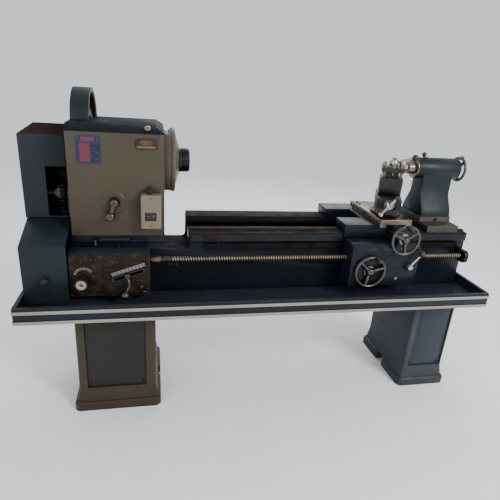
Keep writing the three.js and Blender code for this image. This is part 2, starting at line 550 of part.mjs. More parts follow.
function headstock() {
  const bull = { teeth: BULL_TEETH, y: 0, z: SPINDLE_Z, phase: 0 };
  const pinion = { teeth: PINION_TEETH, y: INPUT_Y, z: INPUT_Z };
  const front = HEAD_FRONT;
  const boxFront = -262;
  const window = prism('y', roundedRect([-537, -497], [915, 945], 2), [boxFront - 1, boxFront + 8]);
  const buttonBore = (x) => hole('y', 6.2, [boxFront, boxFront + 20], [x, 930], 12);
  const button = (x) => turned('y', [[boxFront + 1, 0], [boxFront + 1, 5], [boxFront + 3, 6.2],
    [boxFront + 26, 6.2], [boxFront + 26, 0]], [x, 930], 12);
  const starterCavity = prism('y', roundedRect([-546, -484], [889, 1008], 3), [boxFront + 16, front]);
  const starter = prism('y', roundedRect([-554, -476], [881, 1016], 6), [boxFront, front - GAP]);
  const conduit = bentRod(4.5, [[-519, front - 1.5, 1034], [-519, front - 14, 1035], [-519, front - 26, 1030],
    [-519, front - 30, 1018.5]], 6);
  const lever = join(rod('y', 9, [front - 18, front + 24], SELECTOR),
    turned('y', [[front - 32, 0], [front - 32, 14], [front - 29, 17], [front - 18, 19], [front - 18, 0]],
      SELECTOR),
    rod('z', 5.5, [-58, 0], [0, 0], 10).rotateY(0.28).translate(SELECTOR[0], front - 25, SELECTOR[1]),
    ball(16, [-673, front - 26, 920]));
  return [
    part('headstock_housing', headstockHousing(), BEIGE),
    part('headstock_top_cover', topCover(), BLUE_GREY),
    part('oil_filler_cap', turned('z', [[GAP, 0], [GAP, 12], [6, 13], [9, 11], [11, 0]])
      .rotateX(COVER_SLOPE).translate(...OIL_CAP), CREAM),
    part('front_bearing_cap', frontBearingCap(), BEIGE),
    part('front_spindle_bearing', spindleBearing([-506, -472], 48, BEARING_R[1]), BARE_STEEL),
    part('rear_spindle_bearing', spindleBearing([-746, -720], 36, BEARING_R[0]), BARE_STEEL),
    part('spindle', spindle(), DARK_STEEL),
    part('bull_gear',
      gearBlank(BULL_TEETH, bull.phase, 42, [-648, -608]).translate(0, 0, SPINDLE_Z), BARE_STEEL),
    part('input_shaft', inputShaft(meshedPhase(bull, pinion)), BARE_STEEL),
    part('input_pulley', pulley(BELT_X, INPUT_PULLEY_R, clearOf(15), [INPUT_Y, INPUT_Z]), BEIGE),
    part('drive_belt', driveBelt(), RUBBER),
    part('motor_pulley', join(pulley(BELT_X, MOTOR_PULLEY_R, 11, [MOTOR_Y, MOTOR_Z]),
      rod('x', 13, [-822, -736 - GAP], [MOTOR_Y, MOTOR_Z])), CAST_IRON),
    part('motor', motor(), BLUE_GREY),
    part('motor_bracket', motorBracket(), BLUE_GREY),
    part('belt_guard', beltGuard(), BLUE_GREY),
    part('speed_plate',
      prism('y', roundedRect([-788, -700], [1125, 1229], 6), [front - 2, front - GAP]), PLATE_BLUE),
    part('name_badge', prism('y', roundedRect([-574, -489], [1184, 1226], 8), [front - 2, front - GAP]), BLACK),
    part('speed_selector', lever, BEIGE),
    part('starter_box', cut(starter, starterCavity, window, buttonBore(-527), buttonBore(-507)), CREAM),
    part('starter_conduit', conduit, BLACK),
    part('start_button', button(-527), GREEN),
    part('stop_button', button(-507), RED),
  ];
}

// ---- end covers and gear train ------------------------------------------------------------
function endCovers() {
  const [x0, x1] = COVER_X;
  const t = SHEET;
  // Boxes of sheet, open to the machine and to each other.
  const upper = cut(
    prism('x', [[COVER_FRONT, COVER_BREAK_Z], [COVER_FRONT, 1211], [COVER_BACK, 1226],
      [COVER_BACK, COVER_BREAK_Z]],
      [x0 - 4, x1]),
    prism('x', [[COVER_FRONT + t, COVER_BREAK_Z - 5], [COVER_FRONT + t, 1211 - t], [COVER_BACK - t, 1226 - t],
      [COVER_BACK - t, COVER_BREAK_Z - 5]], [x0 - 4 + t, x1 + 5]),
    box([-925, x1 + 5], [COVER_FRONT - 2, COVER_FRONT + 10], [886, 1089]));
  const low = PAN_TOP + 10;
  const high = COVER_BREAK_Z - 1;
  const front = LOWER_COVER_FRONT;
  const knob = turned('y', [[front - 26, 0], [front - 26, 12], [front - 20, 15], [front - 12, 15], [front - 8, 9],
    [front + 1, 9], [front + 1, 0]], [-925, 672], 16);
  const lower = cut(
    join(prism('x', [[front, low], [front, LOWER_COVER_TOP], [COVER_FRONT, high], [COVER_BACK, high],
      [COVER_BACK, low]], [x0, x1 + 4]), knob),
    prism('x', [[front + t, low - 5], [front + t, LOWER_COVER_TOP - t], [COVER_FRONT + t, high - t],
      [COVER_FRONT + t, high + 5], [COVER_BACK - t, high + 5], [COVER_BACK - t, low - 5]], [x0 + t, x1 + 10]));
  return [
    part('end_cover_upper', upper, BLUE_GREY),
    part('end_cover_lower', lower, BLUE_GREY),
  ];
}

function gearTrain() {
  TRAIN[0].phase = 0;
  const wheels = TRAIN.map((gear, i) => {
    if (i > 0) gear.phase = meshedPhase(TRAIN[i - 1], gear);
    const blank = gearBlank(gear.teeth, gear.phase, gear.bore, [0, GEAR_WIDTH]);
    const shaped = gear.shaft ? join(blank, rod('x', gear.bore + 1, gear.shaft)) : blank;
    return part(gear.name, shaped, i === 1 ? CAST_IRON : BARE_STEEL, [GEAR_X, gear.y, gear.z]);
  });
  const [, idler, change] = TRAIN;
  const plateX = [-856, -846];
  const arm = prism('x', roundedRect([-70, 42], [700, 1000], 30), plateX);
  const stud = ({ bore, y, z }) => turned('x', [[GEAR_X - 14, 0], [GEAR_X - 14, bore + 8], [GEAR_X - 1, bore + 8],
    [GEAR_X - 1, bore], [GEAR_X + GEAR_WIDTH + 1, bore], [GEAR_X + GEAR_WIDTH + 1, bore + 10],
    [plateX[1], bore + 10], [plateX[1], 0]], [y, z], 12);
  return [...wheels, part('gear_quadrant', join(arm, stud(idler), stud(change)), CAST_IRON)];
}

// ---- feed gearbox and leadscrew -----------------------------------------------------------
function feedBox() {
  const front = FEED_BOX_FRONT;
  const back = -BED_HALF_Y - 3;
  const [x0, x1] = FEED_BOX_X;
  const body = prism('x', [[front, FEED_BOX_Z[0]], [front, FEED_BOX_Z[1] - 8], [front + 8, FEED_BOX_Z[1]],
    [back, FEED_BOX_Z[1]], [back, FEED_BOX_Z[0]]], FEED_BOX_X);
  const raised = prism('y', roundedRect([-703, x1], [FEED_BOX_Z[0] + 2, 744], 5), [front - 9, front + 1]);
  const flange = prism('x', roundedRect([front - 4, back], [FEED_BOX_Z[0], FEED_BOX_Z[1] - 2], 6),
    [x1 - 1, x1 + 7]);
  const hollow = box([x0 + 14, x1 - 12], [front + 14, back - 12], [FEED_BOX_Z[0] - 1, FEED_BOX_Z[1] - 14]);
  const inputBore = hole('x', TRAIN[3].bore + 1, [x0 - 5, x0 + 20], [TRAIN[3].y, TRAIN[3].z]);
  const screwBore = rod('x', LEADSCREW_R + 1, [x1 - 16, x1 + 20], [LEADSCREW_Y, LEADSCREW_Z], 14);
  const slot = prism('y', roundedRect([-66, 66], [-9, 9], 6), [front - 12, front + 20])
    .rotateY(-SLOT_TILT).translate(-608, 0, 686);
  const dialBore = hole('y', 8, [front - 2, front + 20], DIAL, 12);
  const indexPlate = prism('y', roundedRect([-70, 70], [-7.5, 7.5], 3), [front - 12, front - 9 - GAP])
    .rotateY(-SLOT_TILT).translate(-608, 0, 712);
  const dial = join(rod('y', 8, [front - 8, front + 16], DIAL, 12),
    turned('y', [[front - 52, 0], [front - 52, 24], [front - 46, 26], [front - 14, 17], [front - 2, 20],
      [front - 2, 0]], DIAL));
  const stem = bentRod(5, [[-612, front + 14, 685], [-612, front - 20, 685], [-606, front - 34, 670],
    [-604, front - 38, 648], [-618, front - 38, 622]], 7);
  return [
    part('feed_gearbox', cut(join(body, raised, flange), hollow, inputBore, screwBore, slot, dialBore), PRIMER),
    part('feed_index_plate', indexPlate, CREAM),
    part('feed_dial_knob', dial, BARE_STEEL),
    part('tumbler_lever', join(stem, ball(17, [-622, front - 38, 610])), BARE_STEEL),
  ];
}

function leadscrew() {
  const centre = [LEADSCREW_Y, LEADSCREW_Z];
  const screw = turned('x', [[-545, 0], [-545, 10], [-445, 10], [-440, LEADSCREW_R],
    [955, LEADSCREW_R], [955, 9], [982, 9], [982, 0]], centre, 16);
  const bracket = cut(prism('x', roundedRect([-252, -BED_HALF_Y + 7 - GAP], [700, 758], [20, 0, 0, 20]),
    [958, 978]),
    hole('x', 9, [950, 985], centre));
  return [part('leadscrew', screw, BARE_STEEL), part('leadscrew_end_bracket', bracket, BED_BLUE)];
}

// ---- carriage -----------------------------------------------------------------------------
function carriage() {
  const [x0, x1] = SADDLE_X;
  const low = GAP;
  const top = SADDLE_THICKNESS;
  const wing = (y0, y1) => box([x0, x1], [y0, y1], [low, top]);
  const bridge = box([-95, 95], [-186, 186], [low, top]);
  const dovetail = prism('y', [[-40, top - 1], [40, top - 1], [52, top + 14], [-52, top + 14]], [-186, 186]);
  const screwBoss = rod('y', 20, [-318, -180], [0, CROSS_SCREW_Z], 20);
  const screwBore = hole('y', 8, [-330, -150], [0, CROSS_SCREW_Z]);
  const frontLip = box([x0, x1], [-186, -BED_HALF_Y - GAP - 0.6], [-16, low + 1]);
  const saddle = cut(join(wing(-186, -68), wing(72, 186), bridge, dovetail, screwBoss, frontLip),
    veeGroove([x0 - 1, x1 + 1]), screwBore);

  const apronTop = -16 - GAP;
  const apronBody = prism('x', [[-290, -215], [-290, -40], [-270, apronTop], [-187, apronTop], [-187, -215]],
    [x0 + 4, x1 - 4]);
  const screwTunnel = rod('x', LEADSCREW_R + 2, [x0 - 1, x1 + 1], [LEADSCREW_Y, LEADSCREW_Z - BED_TOP]);
  const apron = cut(apronBody, screwTunnel,
    hole('y', 8, [-295, -250], WHEEL_AT), hole('y', 7, [-295, -250], NUT_LEVER_AT));

  const wheel = handwheel({ radius: 74, rim: 7, front: -14, back: 12, shaftRadius: 8, shaftEnd: 40, grip: 50 });
  const crossWheel = handwheel({ radius: 68, rim: 6.5, front: -12, back: 9, shaftRadius: 8, shaftEnd: 150,
    grip: 46 });
  const nutLever = join(rod('y', 7, [-23, 30]), turned('y', [[-24, 0], [-24, 12], [-6, 17], [-1, 17], [-1, 0]]),
    rod('z', 6, [0, 84], [0, 0], 10).rotateX(0.18).rotateY(0.5).translate(0, -14, 0), ball(15, [39, -29, 70]));

  const slideLow = top + GAP;
  const crossBody = box([-78, 78], [-228, 92], [slideLow, CROSS_TOP]);
  const crossGroove = prism('y', [[-41, top - 2], [41, top - 2], [53, top + 14 + GAP], [-53, top + 14 + GAP]],
    [-275, 97]);

  const swivelTop = 16;
  const compoundBase = join(
    turned('z', [[GAP, 0], [GAP, 70], [swivelTop - 3, 70], [swivelTop, 66], [swivelTop, 0]], [0, 0], 24),
    box([-52, 52], [-92, 104], [swivelTop - 1, 46]),
    prism('y', [[-22, 45], [22, 45], [32, 58], [-32, 58]], [-92, 104]));
  const compoundGroove = prism('y', [[-23, 44], [23, 44], [33, 58 + GAP], [-33, 58 + GAP]], [-140, 120]);
  const compoundSlide = join(cut(box([-54, 54], [-118, 88], [46 + GAP, 92]), compoundGroove),
    rod('y', 15, [-146, -117], [0, 72]));
  const crank = join(turned('y', [[-30, 0], [-30, 10], [-24, 14], [-GAP, 14], [-GAP, 0]]),
    rod('z', 5.5, [-52, 52], [0, 0], 10).rotateY(0.6).translate(0, -18, 0), ball(11, [-29, -18, -43]),
    turned('y', [[-62, 0], [-62, 8], [-42, 11], [-14, 7], [-14, 0]], [29, 43], 10));

  const postBase = 92 + GAP;
  const postTop = 92 + POST_HEIGHT;
  const post = cut(join(prism('z', roundedRect([-50, 50], [-50, 50], 5), [postBase, postTop]),
    turned('z', [[postTop - 1, 0], [postTop - 1, 30], [postTop + 6, 26], [postTop + 6, 10], [postTop + 42, 10],
      [postTop + 42, 0]])),
  ...[0, 1, 2, 3].map((i) =>
    box([-60, 60], [-60, -28], [postTop - 46, postTop - 18]).rotateZ(i * Math.PI / 2)));
  const leverBore = clearOf(10);
  const postLever = join(turned('z', [[postTop + 8, leverBore], [postTop + 8, 20], [postTop + 34, 17],
    [postTop + 34, leverBore]]), rod('x', 6.5, [14, 92], [0, 0], 10).rotateY(-0.35).translate(0, 0, postTop + 18),
  ball(14, [88, 0, postTop + 50]));

  const compound = assembly([0, PIVOT_Y, CROSS_TOP],
    part('compound_base', compoundBase, CAST_IRON),
    part('compound_slide', compoundSlide, BLUE_GREY),
    part('compound_handle', crank, BARE_STEEL, [0, -146, 72]),
    part('tool_post', post, DARK_STEEL),
    part('tool_post_lever', postLever, BARE_STEEL));
  compound.rotation.z = THREE.MathUtils.degToRad(COMPOUND_ANGLE);

  return assembly([CARRIAGE_X, 0, BED_TOP],
    part('saddle', saddle, BED_BLUE),
    part('apron', apron, PRIMER),
    part('carriage_handwheel', wheel, BARE_STEEL, [WHEEL_AT[0], -306, WHEEL_AT[1]]),
    part('half_nut_lever', nutLever, BARE_STEEL, [NUT_LEVER_AT[0], -292, NUT_LEVER_AT[1]]),
    part('cross_slide', cut(crossBody, crossGroove), BARE_STEEL),
    part('cross_handwheel', crossWheel, BARE_STEEL, [0, -330, CROSS_SCREW_Z]),
    compound);
}

// ---- tailstock ----------------------------------------------------------------------------
function tailstock() {
  const baseCasting = cut(join(box([-84, 84], [-172, 172], [GAP, 34]), box([-84, 84], [-96, 96], [30, 58])),
    veeGroove([-100, 100]));
  const barrel = rod('x', 52, [-112, 118], [0, CENTRE_HEIGHT], 24);
  const column = prism('x', [[-92, 58 + GAP], [-84, 90], [-46, 160], [-44, CENTRE_HEIGHT], [44, CENTRE_HEIGHT],
    [46, 160], [84, 90], [92, 58 + GAP]], [-78, 80]);
  const bore = hole('x', QUILL_R, [-120, 112], [0, CENTRE_HEIGHT], 24);
  const screwBore = hole('x', 8, [100, 130], [0, CENTRE_HEIGHT]);
  const clampBore = hole('z', 7, [CENTRE_HEIGHT + 38, CENTRE_HEIGHT + 60], [CLAMP_X, 0], 12);
  const quill = turned('x', [[-190, 0], [-152, 17], [-150, QUILL_R], [60, QUILL_R], [60, 0]],
    [0, CENTRE_HEIGHT], 24);
  const wheel = handwheel({ radius: 60, rim: 6, front: -12, back: 8, shaftRadius: 8, shaftEnd: 40, grip: 34 })
    .rotateZ(Math.PI / 2);
  const knobTop = 66;
  const clamp = join(rod('z', 7, [42, 56], [0, 0], 12),
    turned('z', [[54, 0], [54, 13], [knobTop, 11], [knobTop, 0]]),
    rod('x', 5, [-70, 0], [0, 0], 10).rotateY(0.2).rotateZ(0.9).translate(0, 0, 60), ball(10, [-43, -54, 74]));
  return assembly([TAILSTOCK_X, 0, BED_TOP],
    part('tailstock_base', baseCasting, CAST_IRON),
    part('tailstock_body', cut(join(barrel, column), bore, screwBore, clampBore), BLUE_GREY),
    part('tailstock_quill', quill, BARE_STEEL),
    part('tailstock_handwheel', wheel, BARE_STEEL, [134, 0, CENTRE_HEIGHT]),
    part('quill_clamp_lever', clamp, BARE_STEEL, [CLAMP_X, 0, CENTRE_HEIGHT]));
}

// ---- whole machine ------------------------------------------------------------------------
const group = new THREE.Group();
group.add(...base(), ...bed(), ...headstock(), ...endCovers(), ...gearTrain(), ...feedBox(), ...leadscrew(),
  carriage(), tailstock());

export default group;
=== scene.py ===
# Looks for the centre lathe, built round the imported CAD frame. Shapes are given in millimetres.
import math

import bmesh
import bpy
from mathutils import Matrix, Vector
from mathutils.geometry import tessellate_polygon


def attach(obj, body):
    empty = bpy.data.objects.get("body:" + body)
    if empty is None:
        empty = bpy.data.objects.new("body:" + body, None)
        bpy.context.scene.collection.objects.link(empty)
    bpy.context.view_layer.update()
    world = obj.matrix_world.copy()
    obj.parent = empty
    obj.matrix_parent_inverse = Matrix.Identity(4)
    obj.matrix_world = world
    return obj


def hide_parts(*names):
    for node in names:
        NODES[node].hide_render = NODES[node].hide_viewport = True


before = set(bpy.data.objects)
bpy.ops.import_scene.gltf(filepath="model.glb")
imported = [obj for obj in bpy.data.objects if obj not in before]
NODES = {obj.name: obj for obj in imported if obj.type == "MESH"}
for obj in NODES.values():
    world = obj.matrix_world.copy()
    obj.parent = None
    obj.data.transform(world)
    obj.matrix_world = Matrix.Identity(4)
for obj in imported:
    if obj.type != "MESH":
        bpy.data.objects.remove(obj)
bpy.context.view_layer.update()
MM = 0.001

# ---- main dimensions, as in the CAD ----
SPINDLE_Z = 1112
SPINDLE = (0, SPINDLE_Z)
BED_TOP = 831
HEAD_X = (-825, -463)
HEAD_FRONT = -210
HEAD_TOP = 1242
COVER_TOP = 1268
INPUT_Y = 98
INPUT_Z = SPINDLE_Z + math.sqrt(135 ** 2 - INPUT_Y ** 2)
INPUT = (INPUT_Y, INPUT_Z)
MOTOR_Y, MOTOR_Z = MOTOR = (298, 760)
BELT_X = (-818, -770)
GUARD_X = (-829, -757)
GUARD_Y, GUARD_Z, GUARD_R = 94, 1242, 144
GEAR_MODULE = 6
GEAR_X = (-884, -864)
IDLER, CHANGE, FEED_INPUT = (1.3, 956), (-50, 783.4), (-186, 706.2)
LEADSCREW, LEAD_R = (-225, 733), 12
FEED_FRONT = -268
CARRIAGE_X = 575
CROSS_Z = 19
CROSS_TOP = 81
PIVOT_Y = -110
COMPOUND_ANGLE = math.radians(-25)
TAIL_X = 862


# ---- camera ----
def camera():
    """A camera at the photograph's viewing angle."""
    yaw, pitch, roll = (math.radians(a) for a in (12.9, 21.1, -4.2))
    forward = Vector((math.sin(yaw) * math.cos(pitch), math.cos(yaw) * math.cos(pitch), -math.sin(pitch)))
    level = Vector((math.cos(yaw), -math.sin(yaw), 0))
    down = forward.cross(level)
    right = math.cos(roll) * level + math.sin(roll) * down
    up = math.sin(roll) * level - math.cos(roll) * down
    data = bpy.data.cameras.new("camera")
    data.sensor_width = 36
    data.lens = 36 * 442.5 / 500
    data.clip_end = 50
    cam = bpy.data.objects.new("camera", data)
    bpy.context.scene.collection.objects.link(cam)
    m = Matrix((right, up, -forward)).transposed().to_4x4()
    m.translation = Vector((-0.4992, -1.9754, 1.4644))
    cam.matrix_world = m
    bpy.context.scene.camera = cam


camera()


# ---- materials ----
class Graph:
    """A short way to write node trees."""

    def __init__(self, name):
        self.material = bpy.data.materials.new(name)
        self.material.use_nodes = True
        self.tree = self.material.node_tree
        self.shader = self.tree.nodes["Principled BSDF"]
        coords = self.tree.nodes.new("ShaderNodeTexCoord")
        self.point = coords.outputs["Object"]

    def node(self, kind, **sockets):
        n = self.tree.nodes.new(kind)
        for key, value in sockets.items():
            self.put(n, key, value)
        return n

    def put(self, n, key, value):
        numbered = key[0] == "i" and key[1:].isdigit()
        socket = n.inputs[int(key[1:]) if numbered else key.replace("_", " ")]
        if isinstance(value, bpy.types.NodeSocket):
            self.tree.links.new(value, socket)
        else:
            socket.default_value = value

    def stretched(self, scale):
        m = self.node("ShaderNodeMapping", Vector=self.point, Scale=scale)
        return m.outputs["Vector"]

    def noise(self, scale, detail=3.0, rough=0.55, at=None):
        n = self.node("ShaderNodeTexNoise", Vector=at or self.point, Scale=scale, Detail=detail,
                      Roughness=rough)
        return n.outputs["Fac"]

    def ramp(self, value, low, high, to_low=0.0, to_high=1.0):
        n = self.node("ShaderNodeMapRange", Value=value)
        n.inputs["From Min"].default_value = low
        n.inputs["From Max"].default_value = high
        n.inputs["To Min"].default_value = to_low
        n.inputs["To Max"].default_value = to_high
        return n.outputs["Result"]

    def times(self, a, b):
        n = self.tree.nodes.new("ShaderNodeMath")
        n.operation = "MULTIPLY"
        n.use_clamp = True
        self.put(n, "i0", a)
        self.put(n, "i1", b)
        return n.outputs["Value"]

    def mix(self, factor, a, b):
        n = self.tree.nodes.new("ShaderNodeMix")
        n.data_type = "RGBA"
        self.put(n, "i0", factor)
        for socket, value in ((n.inputs[6], a), (n.inputs[7], b)):
            if isinstance(value, bpy.types.NodeSocket):
                self.tree.links.new(value, socket)
            else:
                socket.default_value = (*value, 1)
        return n.outputs[2]

    def edges(self):
        """1 along outer edges: where a rounded-off normal leaves the true one, away from hollows."""
        soft = self.tree.nodes.new("ShaderNodeBevel")
        soft.samples = 4
        self.put(soft, "Radius", 0.0035)
        geometry = self.node("ShaderNodeNewGeometry")
        dot = self.tree.nodes.new("ShaderNodeVectorMath")
        dot.operation = "DOT_PRODUCT"
        self.tree.links.new(soft.outputs["Normal"], dot.inputs[0])
        self.tree.links.new(geometry.outputs["Normal"], dot.inputs[1])
        edge = self.ramp(dot.outputs["Value"], 0.80, 0.985, 1.0, 0.0)
        return self.times(edge, self.ramp(self.openness(), 0.55, 0.8))

    def openness(self):
        """The share of the sky that a point sees within a few centimetres."""
        if not hasattr(self, "sky"):
            ao = self.tree.nodes.new("ShaderNodeAmbientOcclusion")
            ao.samples = 4
            self.put(ao, "Distance", 0.035)
            self.sky = ao.outputs["AO"]
        return self.sky

    def hollows(self):
        """1 in corners and crevices: painted shade where shade falls there, together with the grime that
        gathers there.
        """
        return self.ramp(self.openness(), 0.25, 0.8, 1.0, 0.0)

    def below(self, low, high):
        """1 under the height low, 0 over high, in millimetres."""
        z = self.node("ShaderNodeSeparateXYZ", Vector=self.point).outputs["Z"]
        return self.ramp(z, low * MM, high * MM, 1.0, 0.0)

    def radius(self, y, z):
        """The distance from an axis along X, in metres."""
        parts = self.node("ShaderNodeSeparateXYZ", Vector=self.point)
        flat = self.node("ShaderNodeCombineXYZ", X=0.0, Y=parts.outputs["Y"], Z=parts.outputs["Z"])
        n = self.tree.nodes.new("ShaderNodeVectorMath")
        n.operation = "DISTANCE"
        self.put(n, "i0", flat.outputs["Vector"])
        self.put(n, "i1", (0, y * MM, z * MM))
        return n.outputs["Value"]

    def finish(self, color, rough, metallic=0.0, bump=None, strength=0.2, distance=0.0006, coat=0.0,
               specular=0.5):
        s = self.shader
        s.inputs["Specular IOR Level"].default_value = specular
        self.put(s, "Base Color", color if isinstance(color, bpy.types.NodeSocket) else (*color, 1))
        self.put(s, "Roughness", rough)
        s.inputs["Metallic"].default_value = metallic if not isinstance(metallic, bpy.types.NodeSocket) else 0
        if isinstance(metallic, bpy.types.NodeSocket):
            self.put(s, "Metallic", metallic)
        s.inputs["Coat Weight"].default_value = coat
        if bump is not None:
            b = self.node("ShaderNodeBump", Height=bump, Strength=strength, Distance=distance)
            self.put(s, "Normal", b.outputs["Normal"])
        return self.material


def paint(name, color, dark, worn, rough=0.38, stain=0.5, chips=0.6, peel=0.12, coat=0.0, low_darkening=None,
          specular=0.22):
    """Brushed or sprayed enamel: broad stains, fine mottling, painted shade and grime in hollows, bare metal
    at edges.

    A height range in millimetres, when given, makes the colour darker and browner towards the bottom in
    patches, fading out upwards.
    """
    g = Graph(name)
    broad = g.ramp(g.noise(4.5, 5, 0.6), 0.42, 0.72)
    fine = g.ramp(g.noise(48, 4, 0.65), 0.35, 0.75)
    runs = g.ramp(g.noise(9, 4, 0.6, g.stretched((3.0, 3.0, 0.55))), 0.5, 0.8)
    base = g.mix(g.times(broad, stain), color, dark)
    base = g.mix(g.times(fine, 0.22), base, dark)
    base = g.mix(g.times(runs, stain * 0.5), base, tuple(c * 0.72 for c in color))
    # painted shade, with grime: the hollows go dark
    base = g.mix(g.times(g.hollows(), 0.65), base, tuple(c * 0.25 for c in dark))
    # darker and browner towards the bottom, in patches
    if low_darkening:
        patchy = g.ramp(g.noise(11, 5, 0.65, g.stretched((1.0, 1.0, 2.2))), 0.3, 0.75, 0.35, 0.95)
        low_darkness = g.times(g.below(*low_darkening), patchy)
        base = g.mix(low_darkness, base, (color[0] * 0.62, color[1] * 0.5, color[2] * 0.4))
    broken = g.ramp(g.noise(130, 3, 0.7), 0.5, 0.62)
    wear = g.times(g.times(g.edges(), broken), chips)
    base = g.mix(wear, base, worn)
    roughness = g.ramp(g.noise(17, 4, 0.6), 0.3, 0.75, rough - 0.08, rough + 0.16)
    return g.finish(base, roughness, 0.0, g.noise(420, 2, 0.5), peel, 0.0004, coat, specular)


def steel(name, color, dark, rough=0.3, streak=(1, 60, 60), stain=0.4, rust=0.0, metallic=1.0):
    """Machined metal: tool marks along one direction, oil stains, specks of rust."""
    g = Graph(name)
    marks = g.noise(9, 3, 0.7, g.stretched(streak))
    oil = g.ramp(g.noise(14, 5, 0.65), 0.45, 0.7)
    base = g.mix(g.times(oil, stain), color, dark)
    base = g.mix(g.ramp(marks, 0.3, 0.8, 0, 0.35), base, dark)
    specks = g.ramp(g.noise(70, 5, 0.75), 0.62, 0.72)
    base = g.mix(g.times(specks, rust), base, (0.16, 0.07, 0.035))
    # painted shade, with grime: the hollows go dark
    base = g.mix(g.times(g.hollows(), 0.6), base, (0.02, 0.018, 0.015))
    roughness = g.ramp(g.noise(30, 4, 0.6), 0.3, 0.75, rough - 0.08, rough + 0.2)
    return g.finish(base, roughness, metallic, marks, 0.18, 0.0003)


def plain(name, color, rough, bump_scale=300, metallic=0.0, coat=0.0):
    """One colour with faint clouds, and painted shade and grime in the hollows."""
    g = Graph(name)
    cloud = g.ramp(g.noise(35, 4, 0.6), 0.35, 0.75, 0, 0.3)
    base = g.mix(cloud, color, tuple(c * 0.55 for c in color))
    # painted shade, with grime: the hollows go dark
    base = g.mix(g.times(g.hollows(), 0.5), base, tuple(c * 0.3 for c in color))
    roughness = g.ramp(g.noise(60, 3, 0.6), 0.3, 0.75, rough - 0.05, rough + 0.12)
    return g.finish(base, roughness, metallic, g.noise(bump_scale, 3, 0.6), 0.15, 0.0004, coat)


def mottled(name, color, pale, dark, gloss=0.3):
    """Primer rubbed through: tan and black blotches with fine scratches along the piece."""
    g = Graph(name)
    blotch = g.ramp(g.noise(16, 6, 0.7), 0.42, 0.62)
    tan = g.ramp(g.noise(23, 5, 0.7, g.stretched((1.0, 1.0, 1.7))), 0.52, 0.68)
    scratch = g.ramp(g.noise(40, 3, 0.6, g.stretched((0.25, 1.0, 3.0))), 0.58, 0.72)
    base = g.mix(g.times(blotch, 0.85), color, dark)
    base = g.mix(g.times(tan, 0.75), base, pale)
    base = g.mix(g.times(scratch, 0.45), base, tuple(c * 1.5 for c in pale))
    # painted shade, with grime: the hollows go dark
    base = g.mix(g.times(g.hollows(), 0.8), base, tuple(c * 0.3 for c in dark))
    base = g.mix(g.times(g.edges(), 0.5), base, tuple(c * 1.6 for c in pale))
    roughness = g.ramp(g.noise(20, 4, 0.6), 0.3, 0.75, 0.65 - gloss, 0.9 - gloss)
    return g.finish(base, roughness, 0.0, g.noise(150, 4, 0.6), 0.25, 0.0005, 0.0, gloss)


def threaded(name, crest, groove):
    """Screw steel: worn bright crests over grooves darkened with grease and with painted shade."""
    g = Graph(name)
    depth = g.ramp(g.radius(*LEADSCREW), (LEAD_R - 1.9) * MM, (LEAD_R - 0.35) * MM)
    worn = g.mix(g.ramp(g.noise(25, 4, 0.6), 0.35, 0.7), crest, tuple(c * 0.55 for c in crest))
    # the grooves go dark with depth: grease, and painted shade
    base = g.mix(depth, groove, worn)
    return g.finish(base, 0.38, 0.9, g.noise(200, 3, 0.6), 0.2, 0.0003)


